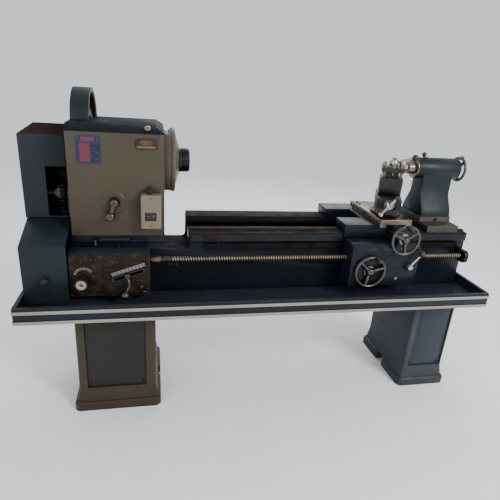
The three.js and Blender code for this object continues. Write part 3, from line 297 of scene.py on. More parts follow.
BARE = (0.075, 0.068, 0.058)
M = {
    "beige": paint("beige_enamel", (0.0545, 0.0465, 0.0315), (0.041, 0.033, 0.0215), (0.040, 0.034, 0.028),
                   0.4, 0.55, low_darkening=(840, 1020)),
    # the bearing cap's beige: the headstock's paint made about twice as light, as painted light where the cap
    # catches the light from the right
    "beige_light": paint("bearing_cap_lit_enamel", (0.104, 0.089, 0.066), (0.070, 0.058, 0.040),
                         (0.055, 0.047, 0.04), 0.36, 0.5),
    # the stands' beige: the headstock's paint made darker, as painted shade for the stands in shade under the
    # tray
    "beige_low": paint("stand_beige_shaded_enamel", (0.040, 0.033, 0.0205), (0.027, 0.021, 0.013),
                       (0.028, 0.024, 0.02), 0.4, 0.6, low_darkening=(20, 150)),
    "stand_grey": paint("right_stand_enamel", (0.041, 0.048, 0.055), (0.029, 0.031, 0.031),
                        (0.05, 0.05, 0.045), 0.36, 0.6, low_darkening=(40, 240)),
    "navy": paint("stand_side_enamel", (0.022, 0.029, 0.040), (0.014, 0.018, 0.025), BARE, 0.4, 0.6,
                  low_darkening=(0, 90)),
    "panel_left": paint("left_door_enamel", (0.0175, 0.0172, 0.0155), (0.010, 0.010, 0.009), BARE, 0.34, 0.7),
    "panel_right": paint("right_door_enamel", (0.026, 0.035, 0.046), (0.016, 0.021, 0.028), BARE, 0.3, 0.6),
    "blue": paint("blue_grey_enamel", (0.0106, 0.0160, 0.0202), (0.0068, 0.0100, 0.0124), BARE, 0.42, 0.6),
    # the headstock lid: the blue-grey paint made darker, as painted shade that keeps its upturned slope to
    # the guard's tone
    "lid": paint("lid_shaded_enamel", (0.0092, 0.0122, 0.0160), (0.0055, 0.0074, 0.0098), BARE, 0.55, 0.7,
                 specular=0.03),
    # the guard's lining: its olive paint made lighter, as painted light on the shaded inside of the guard
    "olive": paint("guard_lining_lit", (0.090, 0.096, 0.062), (0.060, 0.062, 0.040), BARE, 0.5, 0.6),
    "tray": paint("tray_enamel", (0.020, 0.025, 0.034), (0.012, 0.014, 0.018), BARE, 0.44, 0.7),
    "bed": paint("bed_enamel", (0.0070, 0.0102, 0.0158), (0.0042, 0.0055, 0.0080), (0.05, 0.045, 0.04), 0.36,
                 0.7),
    "cover_top": paint("stained_lid_enamel", (0.038, 0.0145, 0.0180), (0.0130, 0.0155, 0.0195), BARE, 0.6,
                       1.0, specular=0.0),
    "primer": mottled("thin_primer", (0.0175, 0.0115, 0.0070), (0.064, 0.041, 0.022),
                      (0.0048, 0.0038, 0.0030), 0.16),
    "dark_primer": mottled("dark_primer", (0.0105, 0.0085, 0.0068), (0.042, 0.029, 0.018),
                           (0.0040, 0.0034, 0.0030), 0.16),
    "oily_iron": mottled("oily_iron", (0.0095, 0.0068, 0.0066), (0.034, 0.0160, 0.0125),
                         (0.0038, 0.0034, 0.0040), 0.06),
    "cream": paint("cream_enamel", (0.155, 0.122, 0.084), (0.110, 0.082, 0.053), (0.12, 0.10, 0.075), 0.3,
                   0.3, 0.4, 0.05, 0.3),
    "strip": paint("cream_strip", (0.275, 0.255, 0.210), (0.165, 0.150, 0.118), (0.10, 0.095, 0.085), 0.38,
                   0.5, 0.5, 0.05),
    "steel": steel("bare_steel", (0.24, 0.205, 0.165), (0.09, 0.068, 0.05), 0.32, rust=0.35),
    "steel_y": steel("bare_steel_across", (0.23, 0.20, 0.165), (0.09, 0.068, 0.05), 0.32, (60, 1, 60),
                     rust=0.3),
    "bronze": steel("bronzed_steel", (0.100, 0.080, 0.064), (0.050, 0.036, 0.028), 0.34, (60, 1, 60),
                    rust=0.15),
    "way": mottled("greased_way", (0.0150, 0.0100, 0.0100), (0.034, 0.0205, 0.0175),
                   (0.0055, 0.0040, 0.0042), 0.08),
    "dark": steel("blackened_steel", (0.055, 0.052, 0.053), (0.02, 0.0185, 0.0185), 0.34, rust=0.1),
    "iron": steel("cast_iron", (0.070, 0.067, 0.064), (0.027, 0.024, 0.021), 0.5, (8, 8, 8), rust=0.25,
                  metallic=0.8),
    "gear": steel("oiled_gear", (0.026, 0.0245, 0.0230), (0.009, 0.0082, 0.0075), 0.4, (40, 4, 4), 0.6, 0.1),
    "chrome": steel("chrome", (0.42, 0.41, 0.40), (0.20, 0.18, 0.165), 0.16, (3, 3, 3), 0.3, 0.08),
    "screw": threaded("leadscrew_steel", (0.30, 0.225, 0.17), (0.022, 0.014, 0.010)),
    "collar": steel("browned_collar", (0.17, 0.128, 0.100), (0.055, 0.038, 0.028), 0.4, (3, 60, 60),
                    rust=0.4),
    "rim": steel("worn_rim_steel", (0.105, 0.100, 0.094), (0.045, 0.041, 0.038), 0.3, (4, 4, 4), 0.4, 0.1),
    "pale_steel": plain("pale_zinc_cap", (0.31, 0.335, 0.375), 0.4, 200),
    "tip": plain("brass_oiler", (0.55, 0.39, 0.22), 0.3, 200),
    "brass": steel("brass", (0.55, 0.36, 0.15), (0.12, 0.075, 0.03), 0.28, (20, 20, 20)),
    "black": plain("black_plastic", (0.008, 0.008, 0.009), 0.42),
    "rubber": plain("rubber", (0.009, 0.009, 0.009), 0.75, 500),
    "plate_blue": plain("plate_blue", (0.0085, 0.0135, 0.050), 0.4, 200, 0.2),
    "plate_dark": plain("plate_dark", (0.004, 0.006, 0.022), 0.4, 200, 0.2),
    "plate_pale": plain("plate_pale", (0.055, 0.065, 0.115), 0.4, 200, 0.2),
    "plate_red": plain("plate_red", (0.120, 0.0125, 0.020), 0.4, 200),
    "badge": plain("badge_ground", (0.0050, 0.0038, 0.0032), 0.6, 200),
    "orange": plain("badge_orange", (0.160, 0.072, 0.022), 0.5, 200),
    "white": plain("white_index", (0.26, 0.245, 0.225), 0.4, 200),
    "grey": plain("grey_index", (0.145, 0.134, 0.145), 0.4, 200),
    "red": plain("red_button", (0.060, 0.006, 0.005), 0.25, 200, coat=0.3),
    "green": plain("green_button", (0.006, 0.034, 0.014), 0.25, 200, coat=0.3),
    "oil_glass": plain("oil_sight", (0.14, 0.07, 0.014), 0.08, 100, coat=1.0),
}

# the part's slot that each finish belongs to, where a piece doesn't name another
SLOTS = {
    "bare_steel": "way gear pale_steel tip bronze steel screw steel_y",
    "bed_paint": "bed navy cover_top",
    "beige_paint": "beige beige_light olive",
    "black_plastic": "black orange",
    "blue_paint": "tray lid blue",
    "cast_iron": "iron",
    "chrome": "oil_glass chrome",
    "cream_enamel": "cream white strip",
    "dark_steel": "dark oily_iron grey",
    "primer_iron": "primer dark_primer",
    "rubber": "rubber",
    "speed_plate": "plate_dark plate_pale",
}
SLOT_OF = {material: slot for slot, materials in SLOTS.items() for material in materials.split()}


# ---- mesh building ----
class Build:
    """Collects closed shapes in millimetres into one mesh."""

    def __init__(self):
        self.bm = bmesh.new()

    def add(self, verts, faces, matrix=None):
        made = [self.bm.verts.new(matrix @ Vector(v) if matrix else Vector(v)) for v in verts]
        new = []
        for f in faces:
            try:
                new.append(self.bm.faces.new([made[i] for i in f]))
            except ValueError:
                pass
        bmesh.ops.recalc_face_normals(self.bm, faces=new)
        return self

    def lathe(self, axis, profile, centre=(0, 0), sides=48, matrix=None, start=0):
        """profile: (distance from start, radius) pairs; it closes on itself unless it ends on the axis."""
        rings, verts, faces = [], [], []
        for s, r in profile:
            if r <= 1e-6:
                rings.append([len(verts)] * sides)
                verts.append(on_axis(axis, start + s, 0, 0, centre))
            else:
                rings.append(list(range(len(verts), len(verts) + sides)))
                for i in range(sides):
                    verts.append(on_axis(axis, start + s, *polar(r, math.tau * i / sides), centre))
        pairs = list(zip(rings, rings[1:]))
        if profile[0][1] > 1e-6:
            pairs.append((rings[-1], rings[0]))
        for p, q in pairs:
            for i in range(sides):
                j = (i + 1) % sides
                ids = list(dict.fromkeys([p[i], p[j], q[j], q[i]]))
                if len(ids) > 2:
                    faces.append(ids)
        return self.add(verts, faces, matrix)

    def rod(self, axis, radius, span, centre=(0, 0), sides=32, soft=0.0):
        """A round bar with chamfered ends; soft is the size of the chamfer."""
        a, b = span
        c = min(soft or radius * 0.08, radius * 0.5, (b - a) * 0.3)
        profile = [(a, 0), (a, radius - c), (a + c, radius), (b - c, radius), (b, radius - c), (b, 0)]
        return self.lathe(axis, profile, centre, sides)

    def prism(self, axis, outline, span, holes=(), matrix=None):
        loops = [list(outline)] + [list(h) for h in holes]
        verts, faces, start = [], [], 0
        flat = [(a, b) for loop in loops for a, b in loop]
        n = len(flat)
        for s in span:
            verts += [on_axis(axis, s, a, b, (0, 0)) for a, b in flat]
        caps = tessellate_polygon([[Vector((a, b, 0)) for a, b in loop] for loop in loops])
        if not holes:
            faces += [list(range(n)), [n + i for i in range(n)]]
        else:
            faces += [list(t) for t in caps] + [[n + i for i in t] for t in caps]
        for loop in loops:
            m = len(loop)
            for i in range(m):
                j = (i + 1) % m
                faces.append([start + i, start + j, n + start + j, n + start + i])
            start += m
        return self.add(verts, faces, matrix)

    def box(self, x, y, z, matrix=None):
        corners = [(a, b, c) for a in x for b in y for c in z]
        quads = [(0, 1, 3, 2), (4, 6, 7, 5), (0, 4, 5, 1), (2, 3, 7, 6), (0, 2, 6, 4), (1, 5, 7, 3)]
        return self.add(corners, quads, matrix)

    def ball(self, radius, centre, sides=28):
        steps = sides // 2
        profile = [(-radius * math.cos(math.pi * i / steps), radius * math.sin(math.pi * i / steps))
                   for i in range(steps + 1)]
        profile[0] = (profile[0][0], 0)
        profile[-1] = (profile[-1][0], 0)
        return self.lathe("z", profile, (0, 0), sides, Matrix.Translation(centre))

    def tube(self, points, radius, sides=20, smooth=6):
        """A round bar through the points, which are joined by a smooth curve."""
        pts = [Vector(p) for p in points]
        line = []
        for i in range(len(pts) - 1):
            p0, p1, p2, p3 = pts[max(i - 1, 0)], pts[i], pts[i + 1], pts[min(i + 2, len(pts) - 1)]
            for k in range(smooth):
                t = k / smooth
                line.append(0.5 * ((2 * p1) + (p2 - p0) * t + (2 * p0 - 5 * p1 + 4 * p2 - p3) * t * t
                                   + (3 * p1 - p0 - 3 * p2 + p3) * t ** 3))
        line.append(pts[-1])
        radii = radius if isinstance(radius, (list, tuple)) else [radius] * len(line)
        side = Vector((0, 0, 1)) if abs((line[1] - line[0]).normalized().z) < 0.9 else Vector((1, 0, 0))
        verts = []
        for i, p in enumerate(line):
            d = (line[min(i + 1, len(line) - 1)] - line[max(i - 1, 0)]).normalized()
            u = d.cross(side).normalized()
            v = d.cross(u)
            side = v * -1 if v.dot(side) < 0 else v
            r = radii[min(int(i * len(radii) / len(line)), len(radii) - 1)]
            for k in range(sides):
                a = math.tau * k / sides
                verts.append(p + (u * math.cos(a) + v * math.sin(a)) * r)
        return self.add(verts, skin(len(line), sides))

    def screw(self, radius, depth, pitch, span, centre, sides):
        """A threaded length along X, closed at both ends."""
        step = pitch / 6
        rows = int((span[1] - span[0]) / step)
        verts = []
        for i in range(rows + 1):
            s = span[0] + i * step
            for k in range(sides):
                phase = (s / pitch - k / sides) % 1
                drop = min(1.0, max(0.0, (abs(phase - 0.5) * 2 - 0.35) / 0.35))
                edge = min(1.0, i / 4, (rows - i) / 4)
                r = radius - depth * (drop * edge + 1 - edge)
                verts.append(on_axis("x", s, *polar(r, math.tau * k / sides), centre))
        return self.add(verts, skin(rows + 1, sides))

    def bolt(self, axis, at, head, out, hexagon=False):
        """A socket or hexagon head at (x, y, z); out is the sign of the way it faces along the axis."""
        k = "xyz".index(axis)
        centre = [c for i, c in enumerate(at) if i != k]
        s = at[k]
        span = sorted((s - 1.0 * out, s + head * 0.62 * out))
        if hexagon:
            return self.rod(axis, head, span, centre, 6, head * 0.1)
        e, b = s + head * 0.9 * out, s - out
        c = e - head * 0.12 * out
        d = e - head * 0.55 * out
        profile = [(b, 0), (b, head), (c, head), (e, head * 0.88), (e, head * 0.55), (d, head * 0.5), (d, 0)]
        return self.lathe(axis, profile, centre, 24)

    def mesh(self, name):
        bmesh.ops.scale(self.bm, vec=(MM, MM, MM), verts=self.bm.verts)
        mesh = bpy.data.meshes.new(name)
        self.bm.to_mesh(mesh)
        self.bm.free()
        return mesh


def skin(rings, sides):
    """The faces of a stack of rings, closed at both ends."""
    faces = []
    for i in range(rings - 1):
        for k in range(sides):
            j = (k + 1) % sides
            faces.append([i * sides + k, i * sides + j, (i + 1) * sides + j, (i + 1) * sides + k])
    return faces + [list(range(sides)), [(rings - 1) * sides + k for k in range(sides)]]


def placed(at, angle, axis):
    """A turn about an axis through the origin, then a move to a place."""
    return Matrix.Translation(at) @ Matrix.Rotation(angle, 4, axis)


def polar(radius, angle, centre=(0, 0)):
    """The point at an angle on a circle."""
    return centre[0] + radius * math.cos(angle), centre[1] + radius * math.sin(angle)


def on_axis(axis, s, a, b, centre):
    p, q = a + centre[0], b + centre[1]
    return {"x": (s, p, q), "y": (p, s, q), "z": (p, q, s)}[axis]


def rounded(a, b, radius, steps=6):
    """Corner points of a rounded rectangle, anticlockwise; radius is one number or four."""
    r = radius if isinstance(radius, (tuple, list)) else [radius] * 4
    centres = [(a[0] + r[0], b[0] + r[0], 180), (a[1] - r[1], b[0] + r[1], 270),
               (a[1] - r[2], b[1] - r[2], 0), (a[0] + r[3], b[1] - r[3], 90)]
    out = []
    for k, (p, q, start) in enumerate(centres):
        n = steps if r[k] > 0.01 else 0
        for i in range(n + 1):
            t = math.radians(start + (90 * i / n if n else 0))
            out.append(polar(r[k], t, (p, q)))
    return out


def circle(a, b, r, n=32):
    return [polar(r, math.tau * i / n, (a, b)) for i in range(n)]


def settle(obj):
    """Applies the object's modifiers."""
    graph = bpy.context.evaluated_depsgraph_get()
    graph.update()
    mesh = bpy.data.meshes.new_from_object(obj.evaluated_get(graph))
    obj.modifiers.clear()
    old = obj.data
    obj.data = mesh
    bpy.data.meshes.remove(old)


def loose(build, name="loose"):
    """An object in the scene, not yet a piece, made from a build."""
    obj = bpy.data.objects.new(name, build.mesh(name))
    bpy.context.scene.collection.objects.link(obj)
    return obj


def boolean(obj, build, operation="DIFFERENCE"):
    """Cuts the build out of the object, or keeps only what both share."""
    tool = loose(build, "tool")
    m = obj.modifiers.new("cut", "BOOLEAN")
    m.operation = operation
    m.solver = "EXACT"
    m.object = tool
    settle(obj)
    bpy.data.objects.remove(tool)


def copied(node):
    """A new object with the CAD node's shape, its flat faces made whole again."""
    mesh = NODES[node].data.copy()
    obj = bpy.data.objects.new("copy", mesh)
    bpy.context.scene.collection.objects.link(obj)
    bm = bmesh.new()
    bm.from_mesh(mesh)
    bmesh.ops.remove_doubles(bm, verts=bm.verts, dist=0.00002)
    bmesh.ops.dissolve_limit(bm, angle_limit=math.radians(0.6), verts=bm.verts, edges=bm.edges)
    bm.to_mesh(mesh)
    bm.free()
    return obj


def piece(name, shape, material, body, replaces=(), bevel=0.0, smooth=30, segments=2, slot=None):
    """Turns a Build or an object into a finished piece that rides on a body."""
    obj = shape if isinstance(shape, bpy.types.Object) else loose(shape, name)
    obj.name = name
    obj.data.name = name
    if bevel:
        b = obj.modifiers.new("bevel", "BEVEL")
        b.width = bevel * MM
        b.segments = segments
        b.limit_method = "ANGLE"
        b.angle_limit = math.radians(32)
        b.use_clamp_overlap = True
        settle(obj)
    mesh = obj.data
    mesh.materials.clear()
    mesh.materials.append(M[material])
    for p in mesh.polygons:
        p.use_smooth = True
        p.material_index = 0
    mesh.set_sharp_from_angle(angle=math.radians(smooth))
    slot = slot or SLOT_OF[material]
    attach(obj, body)
    if replaces:
        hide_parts(*([replaces] if isinstance(replaces, str) else replaces))
    return obj


def repaint(obj, material, test):
    """Gives the faces that pass test(centre in millimetres, normal) another material."""
    obj.data.materials.append(M[material])
    last = len(obj.data.materials) - 1
    for p in obj.data.polygons:
        if test(p.center / MM, p.normal):
            p.material_index = last


# ---- pedestals and tray ----
def pedestal(side, x0, x1, margin, finish_of_stand, door):
    """A cast stand: straight walls on a foot with a sharp ledge, a recessed front and a notch for a bar."""
    front, back, top = -235, 165, 553.5
    rings = [(0, 22, 27), (30, 22, 27), (37, 20.5, 26), (42, 16, 24), (44, 9.5, 21), (58, 8, 20),
             (74, 6, 19), (90, 2.6, 17.5), (102, 0.5, 16), (140, 0, 16), (top, 0, 16)]
    verts = []
    for z, spread, corner in rings:
        loop = rounded((x0 - spread, x1 + spread), (front - spread, back + spread), corner, 7)
        verts += [(a, b, z) for a, b in loop]
    obj = loose(Build().add(verts, skin(len(rings), len(loop))))
    inside = rounded((x0 + 14, x1 - 14), (front + 28, back - 14), 10, 3)
    boolean(obj, Build().prism("z", inside, (-2, top - 14)))
    px = (x0 + margin[0], x1 - margin[1])
    pz = (108, 530)
    boolean(obj, Build().prism("y", rounded(px, pz, 4, 4), (front - 5, front + 12)))
    boolean(obj, Build().prism("x", rounded((-70, -6), (-30, 44), 7, 4), (x0 - 60, x1 + 60)))
    casting = piece(f"{side}_pedestal_casting", obj, finish_of_stand, "frame", f"{side}_pedestal", 1.6,
                    slot="beige_paint")
    if side == "right":
        repaint(casting, "navy", lambda c, n: -n.x > max(abs(n.y), 0.25))
    panel = Build().prism("y", rounded((px[0] + 0.4, px[1] - 0.4), (pz[0] + 0.4, pz[1] - 0.4), 4, 4),
                          (front + 6, front + 11.6))
    for x in (px[0] + 14, px[1] - 14):
        for z in (pz[0] + 16, pz[1] - 16):
            panel.bolt("y", (x, front + 6, z), 4.5, -1)
    raised = rounded((px[0] + 24, px[1] - 24), (pz[0] + 30, pz[1] - 30), 10, 5)
    panel.prism("y", raised, (front + 4.8, front + 8))
    piece(f"{side}_pedestal_door", panel, door, "frame", f"{side}_pedestal_panel", 1.2, slot="blue_paint")


# the left stand's casting takes the darkened beige: painted shade
pedestal("left", -843, -503, (38, 44), "beige_low", "panel_left")
pedestal("right", 769, 998, (28, 14), "stand_grey", "panel_right")

pressing = piece("tray_pressing", copied("chip_tray"), "tray", "frame", "chip_tray", 0.8)
repaint(pressing, "bed", lambda c, n: abs(n.y) > 0.5 and abs(c.y) > 375)
for trim in ("tray_trim_upper", "tray_trim_lower"):
    piece(trim + "_strip", copied(trim), "strip", "frame", trim, 0.7)
rivets = Build()
for wx in (-1000, -600, -200, 200, 600, 1000):
    for wy in (-362, 362):
        rivets.bolt("z", (wx, wy, 557), 6, 1)
piece("tray_rivets", rivets, "tray", "frame")

# ---- bed ----
CUT_Z = 824
casting = copied("bed")
boolean(casting, Build().box((-900, 1100), (-300, 300), (CUT_Z, 900)))
bed = piece("bed_casting", casting, "bed", "frame", "bed", 2.2)
repaint(bed, "oily_iron", lambda c, n: -463 < c.x < -353 and c.z > 689 and (n.z > 0.4 or abs(n.x) > 0.4))
repaint(bed, "oily_iron", lambda c, n: -463 < c.x < -353 and c.z > 689 and c.y > -160)
ways = copied("bed")
boolean(ways, Build().box((-900, 1100), (-300, 300), (CUT_Z + 0.05, 900)), "INTERSECT")
piece("bed_ways", ways, "way", "frame", bevel=1.0)

fit = Build()
face = -175
clamp_y = face - 13
fit.rod("y", 8, (clamp_y - 3, face + 8), (-741, 799), 24)
fit.tube([(-741, clamp_y, 806), (-741, clamp_y - 3, 797), (-740, clamp_y - 4, 786)],
         [6.5, 6, 5.6, 5.6, 6, 7], 16)
for x, z, r in ((-776, 768, 6), (-648, 765, 9), (-560, 768, 6), (-228, 779, 7)):
    fit.bolt("y", (x, -168 if z < 786 else face, z), r, -1)
piece("bed_fittings", fit, "dark", "frame", bevel=0.4)
recess_bar = Build().prism("y", rounded((-728, -606), (797.5, 808.5), 4.5, 4), (face + 3, face + 8.6))
piece("bed_recess_bar", recess_bar, "navy", "frame", bevel=1.2)
shut = Build().prism("y", rounded((-299, -241), (798, 819), 3, 3), (face + 2, face + 7))
piece("bridge_seat_plate", shut, "cover_top", "frame", bevel=0.5)
plugs = Build()
for x, z in ((-440, 687), (-410, 686)):
    plugs.lathe("y", [(-168.6, 0), (-168.6, 4), (-168.6, 7), (-167, 7.6), (-160, 7.6), (-160, 0)], (x, z), 24)
piece("bed_plugs", plugs, "black", "frame")

rack = Build()
teeth = []
pitch = 6.2
count = int((950 + 290) / pitch)
for i in range(count):
    x = -290 + i * pitch
    teeth += [(x, 766.5), (x + 1.2, 762), (x + 3.0, 762), (x + 4.3, 766.5)]
rack.prism("y", teeth + [(950, 766.5), (950, 784), (-290, 784)], (-183, -168.4))
for x in range(-250, 950, 150):
    rack.bolt("y", (x, -183, 775), 5, -1)
piece("feed_rack_bar", rack, "oily_iron", "frame", "feed_rack")

# ---- headstock ----
piece("headstock_casting", copied("headstock_housing"), "beige", "frame", "headstock_housing", 3.0, 32)
BOSS = (-664, 978)
boss = Build()
boss.lathe("y", [(-208, 0), (-212.6, 0), (-212.6, 36), (-212, 39.4), (-210.4, 41), (-208, 41.4)], BOSS, 64)
piece("selector_boss", boss, "beige", "frame", smooth=40)
dots = Build()
for a in range(-60, 61, 30):
    t = math.radians(90 + a)
    dots.rod("y", 1.3, (-213.2, -211), polar(33, t, BOSS), 12)
dots.rod("y", 3.4, (-213.6, -209), (-693, 985), 20)
piece("selector_marks", dots, "black", "frame")

# the lid takes the darkened blue-grey: painted shade
piece("headstock_lid", copied("headstock_top_cover"), "lid", "frame", "headstock_top_cover", 2.0)
lid_slope = math.atan2(COVER_TOP - HEAD_TOP - 4.4, 42)
on_slope = placed((-526, -191, (COVER_TOP + HEAD_TOP + 4.4) / 2), lid_slope, "X")
cap = Build().lathe("z", [(-3, 0), (-3, 9), (0.4, 9), (0.4, 12.2), (2, 13), (6, 13), (8.4, 12), (10.2, 9),
                          (11, 4), (11.2, 0)], (0, 0), 48, on_slope)
piece("oil_filler_button", cap, "cream", "frame", "oil_filler_cap", 0, 40)

face_x = HEAD_X[1] + 0.4
ring = Build().lathe("x", [(face_x, 56), (face_x, 134), (-433, 134), (-431, 136.5), (-428, 137.5),
                           (-419, 137.5), (-416, 135), (-414.5, 128), (-413, 112), (-407, 88), (-402, 74),
                           (-399.4, 68), (-399, 64), (-399, 56)], SPINDLE, 112)
ring_obj = loose(ring)
boolean(ring_obj, Build().prism("y", [(face_x - 1, 1228), (-443, 1228), (-427, 1262), (face_x - 1, 1262)],
                                (-160, 160)))
# the bearing cap takes the lightened beige: painted light
piece("front_bearing_cover", ring_obj, "beige_light", "frame", "front_bearing_cap", 0.8, 32)
nose = Build()
nose.lathe("x", [(-905, 20), (-905, 29), (-902, 31.6), (-752, 31.6), (-752, 36), (-716, 36), (-716, 42),
                 (-520, 42), (-520, 48), (-401, 48), (-397, 50), (-396, 50), (-396, 24)], SPINDLE, 64)
nose.lathe("x", [(-397, 20), (-397, 52.6), (-391, 52.6), (-390.5, 51.2), (-386, 51.2), (-386, 22)], SPINDLE,
           72)
thread = loose(Build().screw(52.4, 2.2, 6.0, (-388, -357), SPINDLE, 72))
boolean(thread, Build().lathe("x", [(-400, 0), (-400, 23), (-340, 25), (-340, 0)], SPINDLE, 64))
piece("spindle_nose_thread", thread, "dark", "spindle_set", smooth=50)
nose.lathe("x", [(-360, 24), (-360, 50), (-356, 50.4), (-352, 47), (-352, 27), (-353, 24.5)], SPINDLE, 72)
piece("spindle_shaft", nose, "dark", "spindle_set", "spindle", 0, 35)


def gear_outline(teeth, phase):
    """The toothed outline of a gear; phase is the angle of its first tooth."""
    pitch_r = GEAR_MODULE * teeth / 2
    out = []
    # half tooth widths, as a share of one pitch, from root to tip
    flank = [(-1.25, 0.29), (-1.1, 0.262), (-0.5, 0.222), (0, 0.19), (0.5, 0.152), (0.82, 0.122),
             (0.9, 0.108)]
    for i in range(teeth):
        for sign, steps in ((-1, flank), (1, flank[::-1])):
            for up, half in steps:
                angle = phase + (i + sign * half) * math.tau / teeth
                out.append(polar(pitch_r + up * GEAR_MODULE, angle))
    return out


def gear(node, teeth, phase, centre, bore, body, slot):
    """A spur gear with a thin web, and five round holes in it where there is room."""
    x0, x1 = GEAR_X
    shift = Matrix.Translation((0, *centre))
    root = GEAR_MODULE * teeth / 2 - 1.25 * GEAR_MODULE
    g = Build().prism("x", gear_outline(teeth, phase), GEAR_X, [circle(0, 0, root - 9, 64)], shift)
    holes = [circle(0, 0, bore + 2, 32)]
    mid = (root - 9 + bore + 15) / 2
    size = min((root - 9 - bore - 15) / 2 - 3, mid * math.sin(math.pi / 5) - 4)
    if size > 5:
        holes += [circle(*polar(mid, math.tau * i / 5), size, 28) for i in range(5)]
    g.prism("x", circle(0, 0, root - 8, 64), (x0 + 5, x1 - 5), holes, shift)
    g.lathe("x", [(x0, bore + 0.4), (x0, bore + 12), (x0 + 1, bore + 13), (x1 - 1, bore + 13),
                  (x1, bore + 12), (x1, bore + 0.4)], centre, 40)
    if node == "feed_input_gear":
        g.rod("x", bore + 0.6, (x0 - 10, x0 + 60), centre)
    piece(node + "_wheel", g, "gear", body, node, 0.5, 40, slot=slot)


def meshed(phase, teeth, centre, next_teeth, next_centre):
    """The turn that puts the next gear's gap on this gear's tooth."""
    towards = math.atan2(next_centre[1] - centre[1], next_centre[0] - centre[0])
    offset = (towards - phase) * teeth / math.tau
    return towards + math.pi - (0.5 - offset) * math.tau / next_teeth


TRAIN = (("spindle_gear", 24, SPINDLE, 31.6, "spindle_set", "bare_steel"),
         ("idler_gear", 28, IDLER, 14, "idler", "cast_iron"),
         ("change_gear", 32, CHANGE, 14, "change", "bare_steel"),
         ("feed_input_gear", 20, FEED_INPUT, 12, "feed_input", "bare_steel"))
phase = 0
for k, (node, teeth, centre, bore, body, slot) in enumerate(TRAIN):
    if k:
        phase = meshed(phase, *TRAIN[k - 1][1:3], teeth, centre)
    gear(node, teeth, phase, centre, bore, body, slot)

# CAD nodes that stay as they are
for node in ("bull_gear", "input_shaft", "front_spindle_bearing", "rear_spindle_bearing"):
    mesh = NODES[node].data
    mesh.materials.clear()
    mesh.materials.append(M["steel"])

piece("gear_quadrant_arm", copied("gear_quadrant"), "iron", "frame", "gear_quadrant", 0.8)
nuts = Build()
nuts.bolt("x", (-898, *CHANGE), 13, -1, True)
piece("quadrant_nuts", nuts, "gear", "frame", bevel=0.4)
stud = Build().lathe("x", [(-920, 0), (-920, 10), (-918, 14), (-912, 17), (-904, 25), (-898, 27),
                           (-886.6, 27), (-886.6, 0)], IDLER, 48)
piece("idler_stud_cap", stud, "pale_steel", "frame", smooth=40)
stem = Build().lathe("x", [(-948, 0), (-948, 5), (-946, 6), (-923, 7.5), (-920.3, 9), (-920.3, 0)], IDLER, 32)
piece("idler_stud_stem", stem, "grey", "frame")
oiler = Build().lathe("x", [(-962, 0), (-962, 4), (-960, 6.4), (-954, 7), (-950, 5), (-948.3, 5),
                            (-948.3, 0)], IDLER, 24)
piece("idler_stud_oiler", oiler, "tip", "frame")


def vee_pulley(x0, x1, radius, bore, centre):
    """A pulley with three V grooves and a thin web."""
    grooves = 3
    step = (x1 - x0) / grooves
    profile = [(x0, bore), (x0, bore + 13), (x0 + 14, bore + 17), (x0 + 14, radius - 24), (x0, radius - 20),
               (x0, radius)]
    for i in range(grooves):
        a = x0 + i * step
        profile += [(a + 1.6, radius), (a + 4.6, radius - 10), (a + step - 4.6, radius - 10),
                    (a + step - 1.6, radius)]
    profile += [(x1, radius), (x1, radius - 20), (x1 - 14, radius - 24), (x1 - 14, bore + 17),
                (x1, bore + 13), (x1, bore)]
    return Build().lathe("x", profile, centre, 72)


big = vee_pulley(*BELT_X, 88, 15.4, INPUT)
piece("input_vee_pulley", big, "iron", "input_set", "input_pulley", 0, 35)
small = vee_pulley(*BELT_X, 44, 11, MOTOR)
small.rod("x", 12.8, (-822, -736.6), MOTOR)
piece("motor_vee_pulley", small, "iron", "motor_shaft", "motor_pulley", 0, 35)


def belt_line(ra, rb, n=28):
    """The line of a belt round the input pulley at radius ra and the motor's at rb."""
    dy, dz = MOTOR_Y - INPUT_Y, MOTOR_Z - INPUT_Z
    line = math.atan2(dz, dy)
    lean = math.acos((ra - rb) / math.hypot(dy, dz))
    a = [line + lean + (math.tau - 2 * lean) * i / n for i in range(n + 1)]
    b = [line - lean + 2 * lean * i / n for i in range(n + 1)]
    return [polar(ra, t, INPUT) for t in a] + [polar(rb, t, MOTOR) for t in b]


belts = Build()
for i in range(3):
    x = BELT_X[0] + i * 16 + 2.2
    belts.prism("x", belt_line(90 + 6, 46 + 6), (x, x + 11.6), [belt_line(90, 46)])
piece("vee_belts", belts, "rubber", "frame", "drive_belt", 0.8, 35)


def guard_band(inset, n=40):
    """The belt guard's outline, drawn in by inset."""
    r = GUARD_R - inset
    pts = [polar(r, math.pi * i / n, (GUARD_Y, GUARD_Z)) for i in range(n + 1)]
    pts += [(GUARD_Y - r, 1070 + inset * 0.4), (176 + inset, 851 + inset * 0.4),
            (234 + inset, 738 + inset * 0.5)]
    a, b = math.pi * 1.12, math.pi * 2
    return pts + [polar(68 - inset, a + (b - a) * i / n, MOTOR) for i in range(n + 1)]


def faces_inwards(c, n):
    """Whether a face of the guard's rim looks towards its middle."""
    on_rim = GUARD_X[0] + 2 < c.x < GUARD_X[1] - 2.4
    return on_rim and Vector((0, c.y - GUARD_Y, c.z - 1150)).dot(n) < 0


guard = Build().prism("x", guard_band(0), (GUARD_X[0], GUARD_X[0] + 2.6),
                      [circle(0, SPINDLE_Z, 38, 40), circle(INPUT_Y, INPUT_Z, 24, 32)])
guard.prism("x", guard_band(0), (GUARD_X[0] + 1, GUARD_X[1]), [guard_band(2.6)])
guard.prism("x", guard_band(2.4), (GUARD_X[1] - 2.2, GUARD_X[1]), [guard_band(16)])
shell = piece("belt_guard_sheet", guard, "blue", "frame", "belt_guard", 0.7)
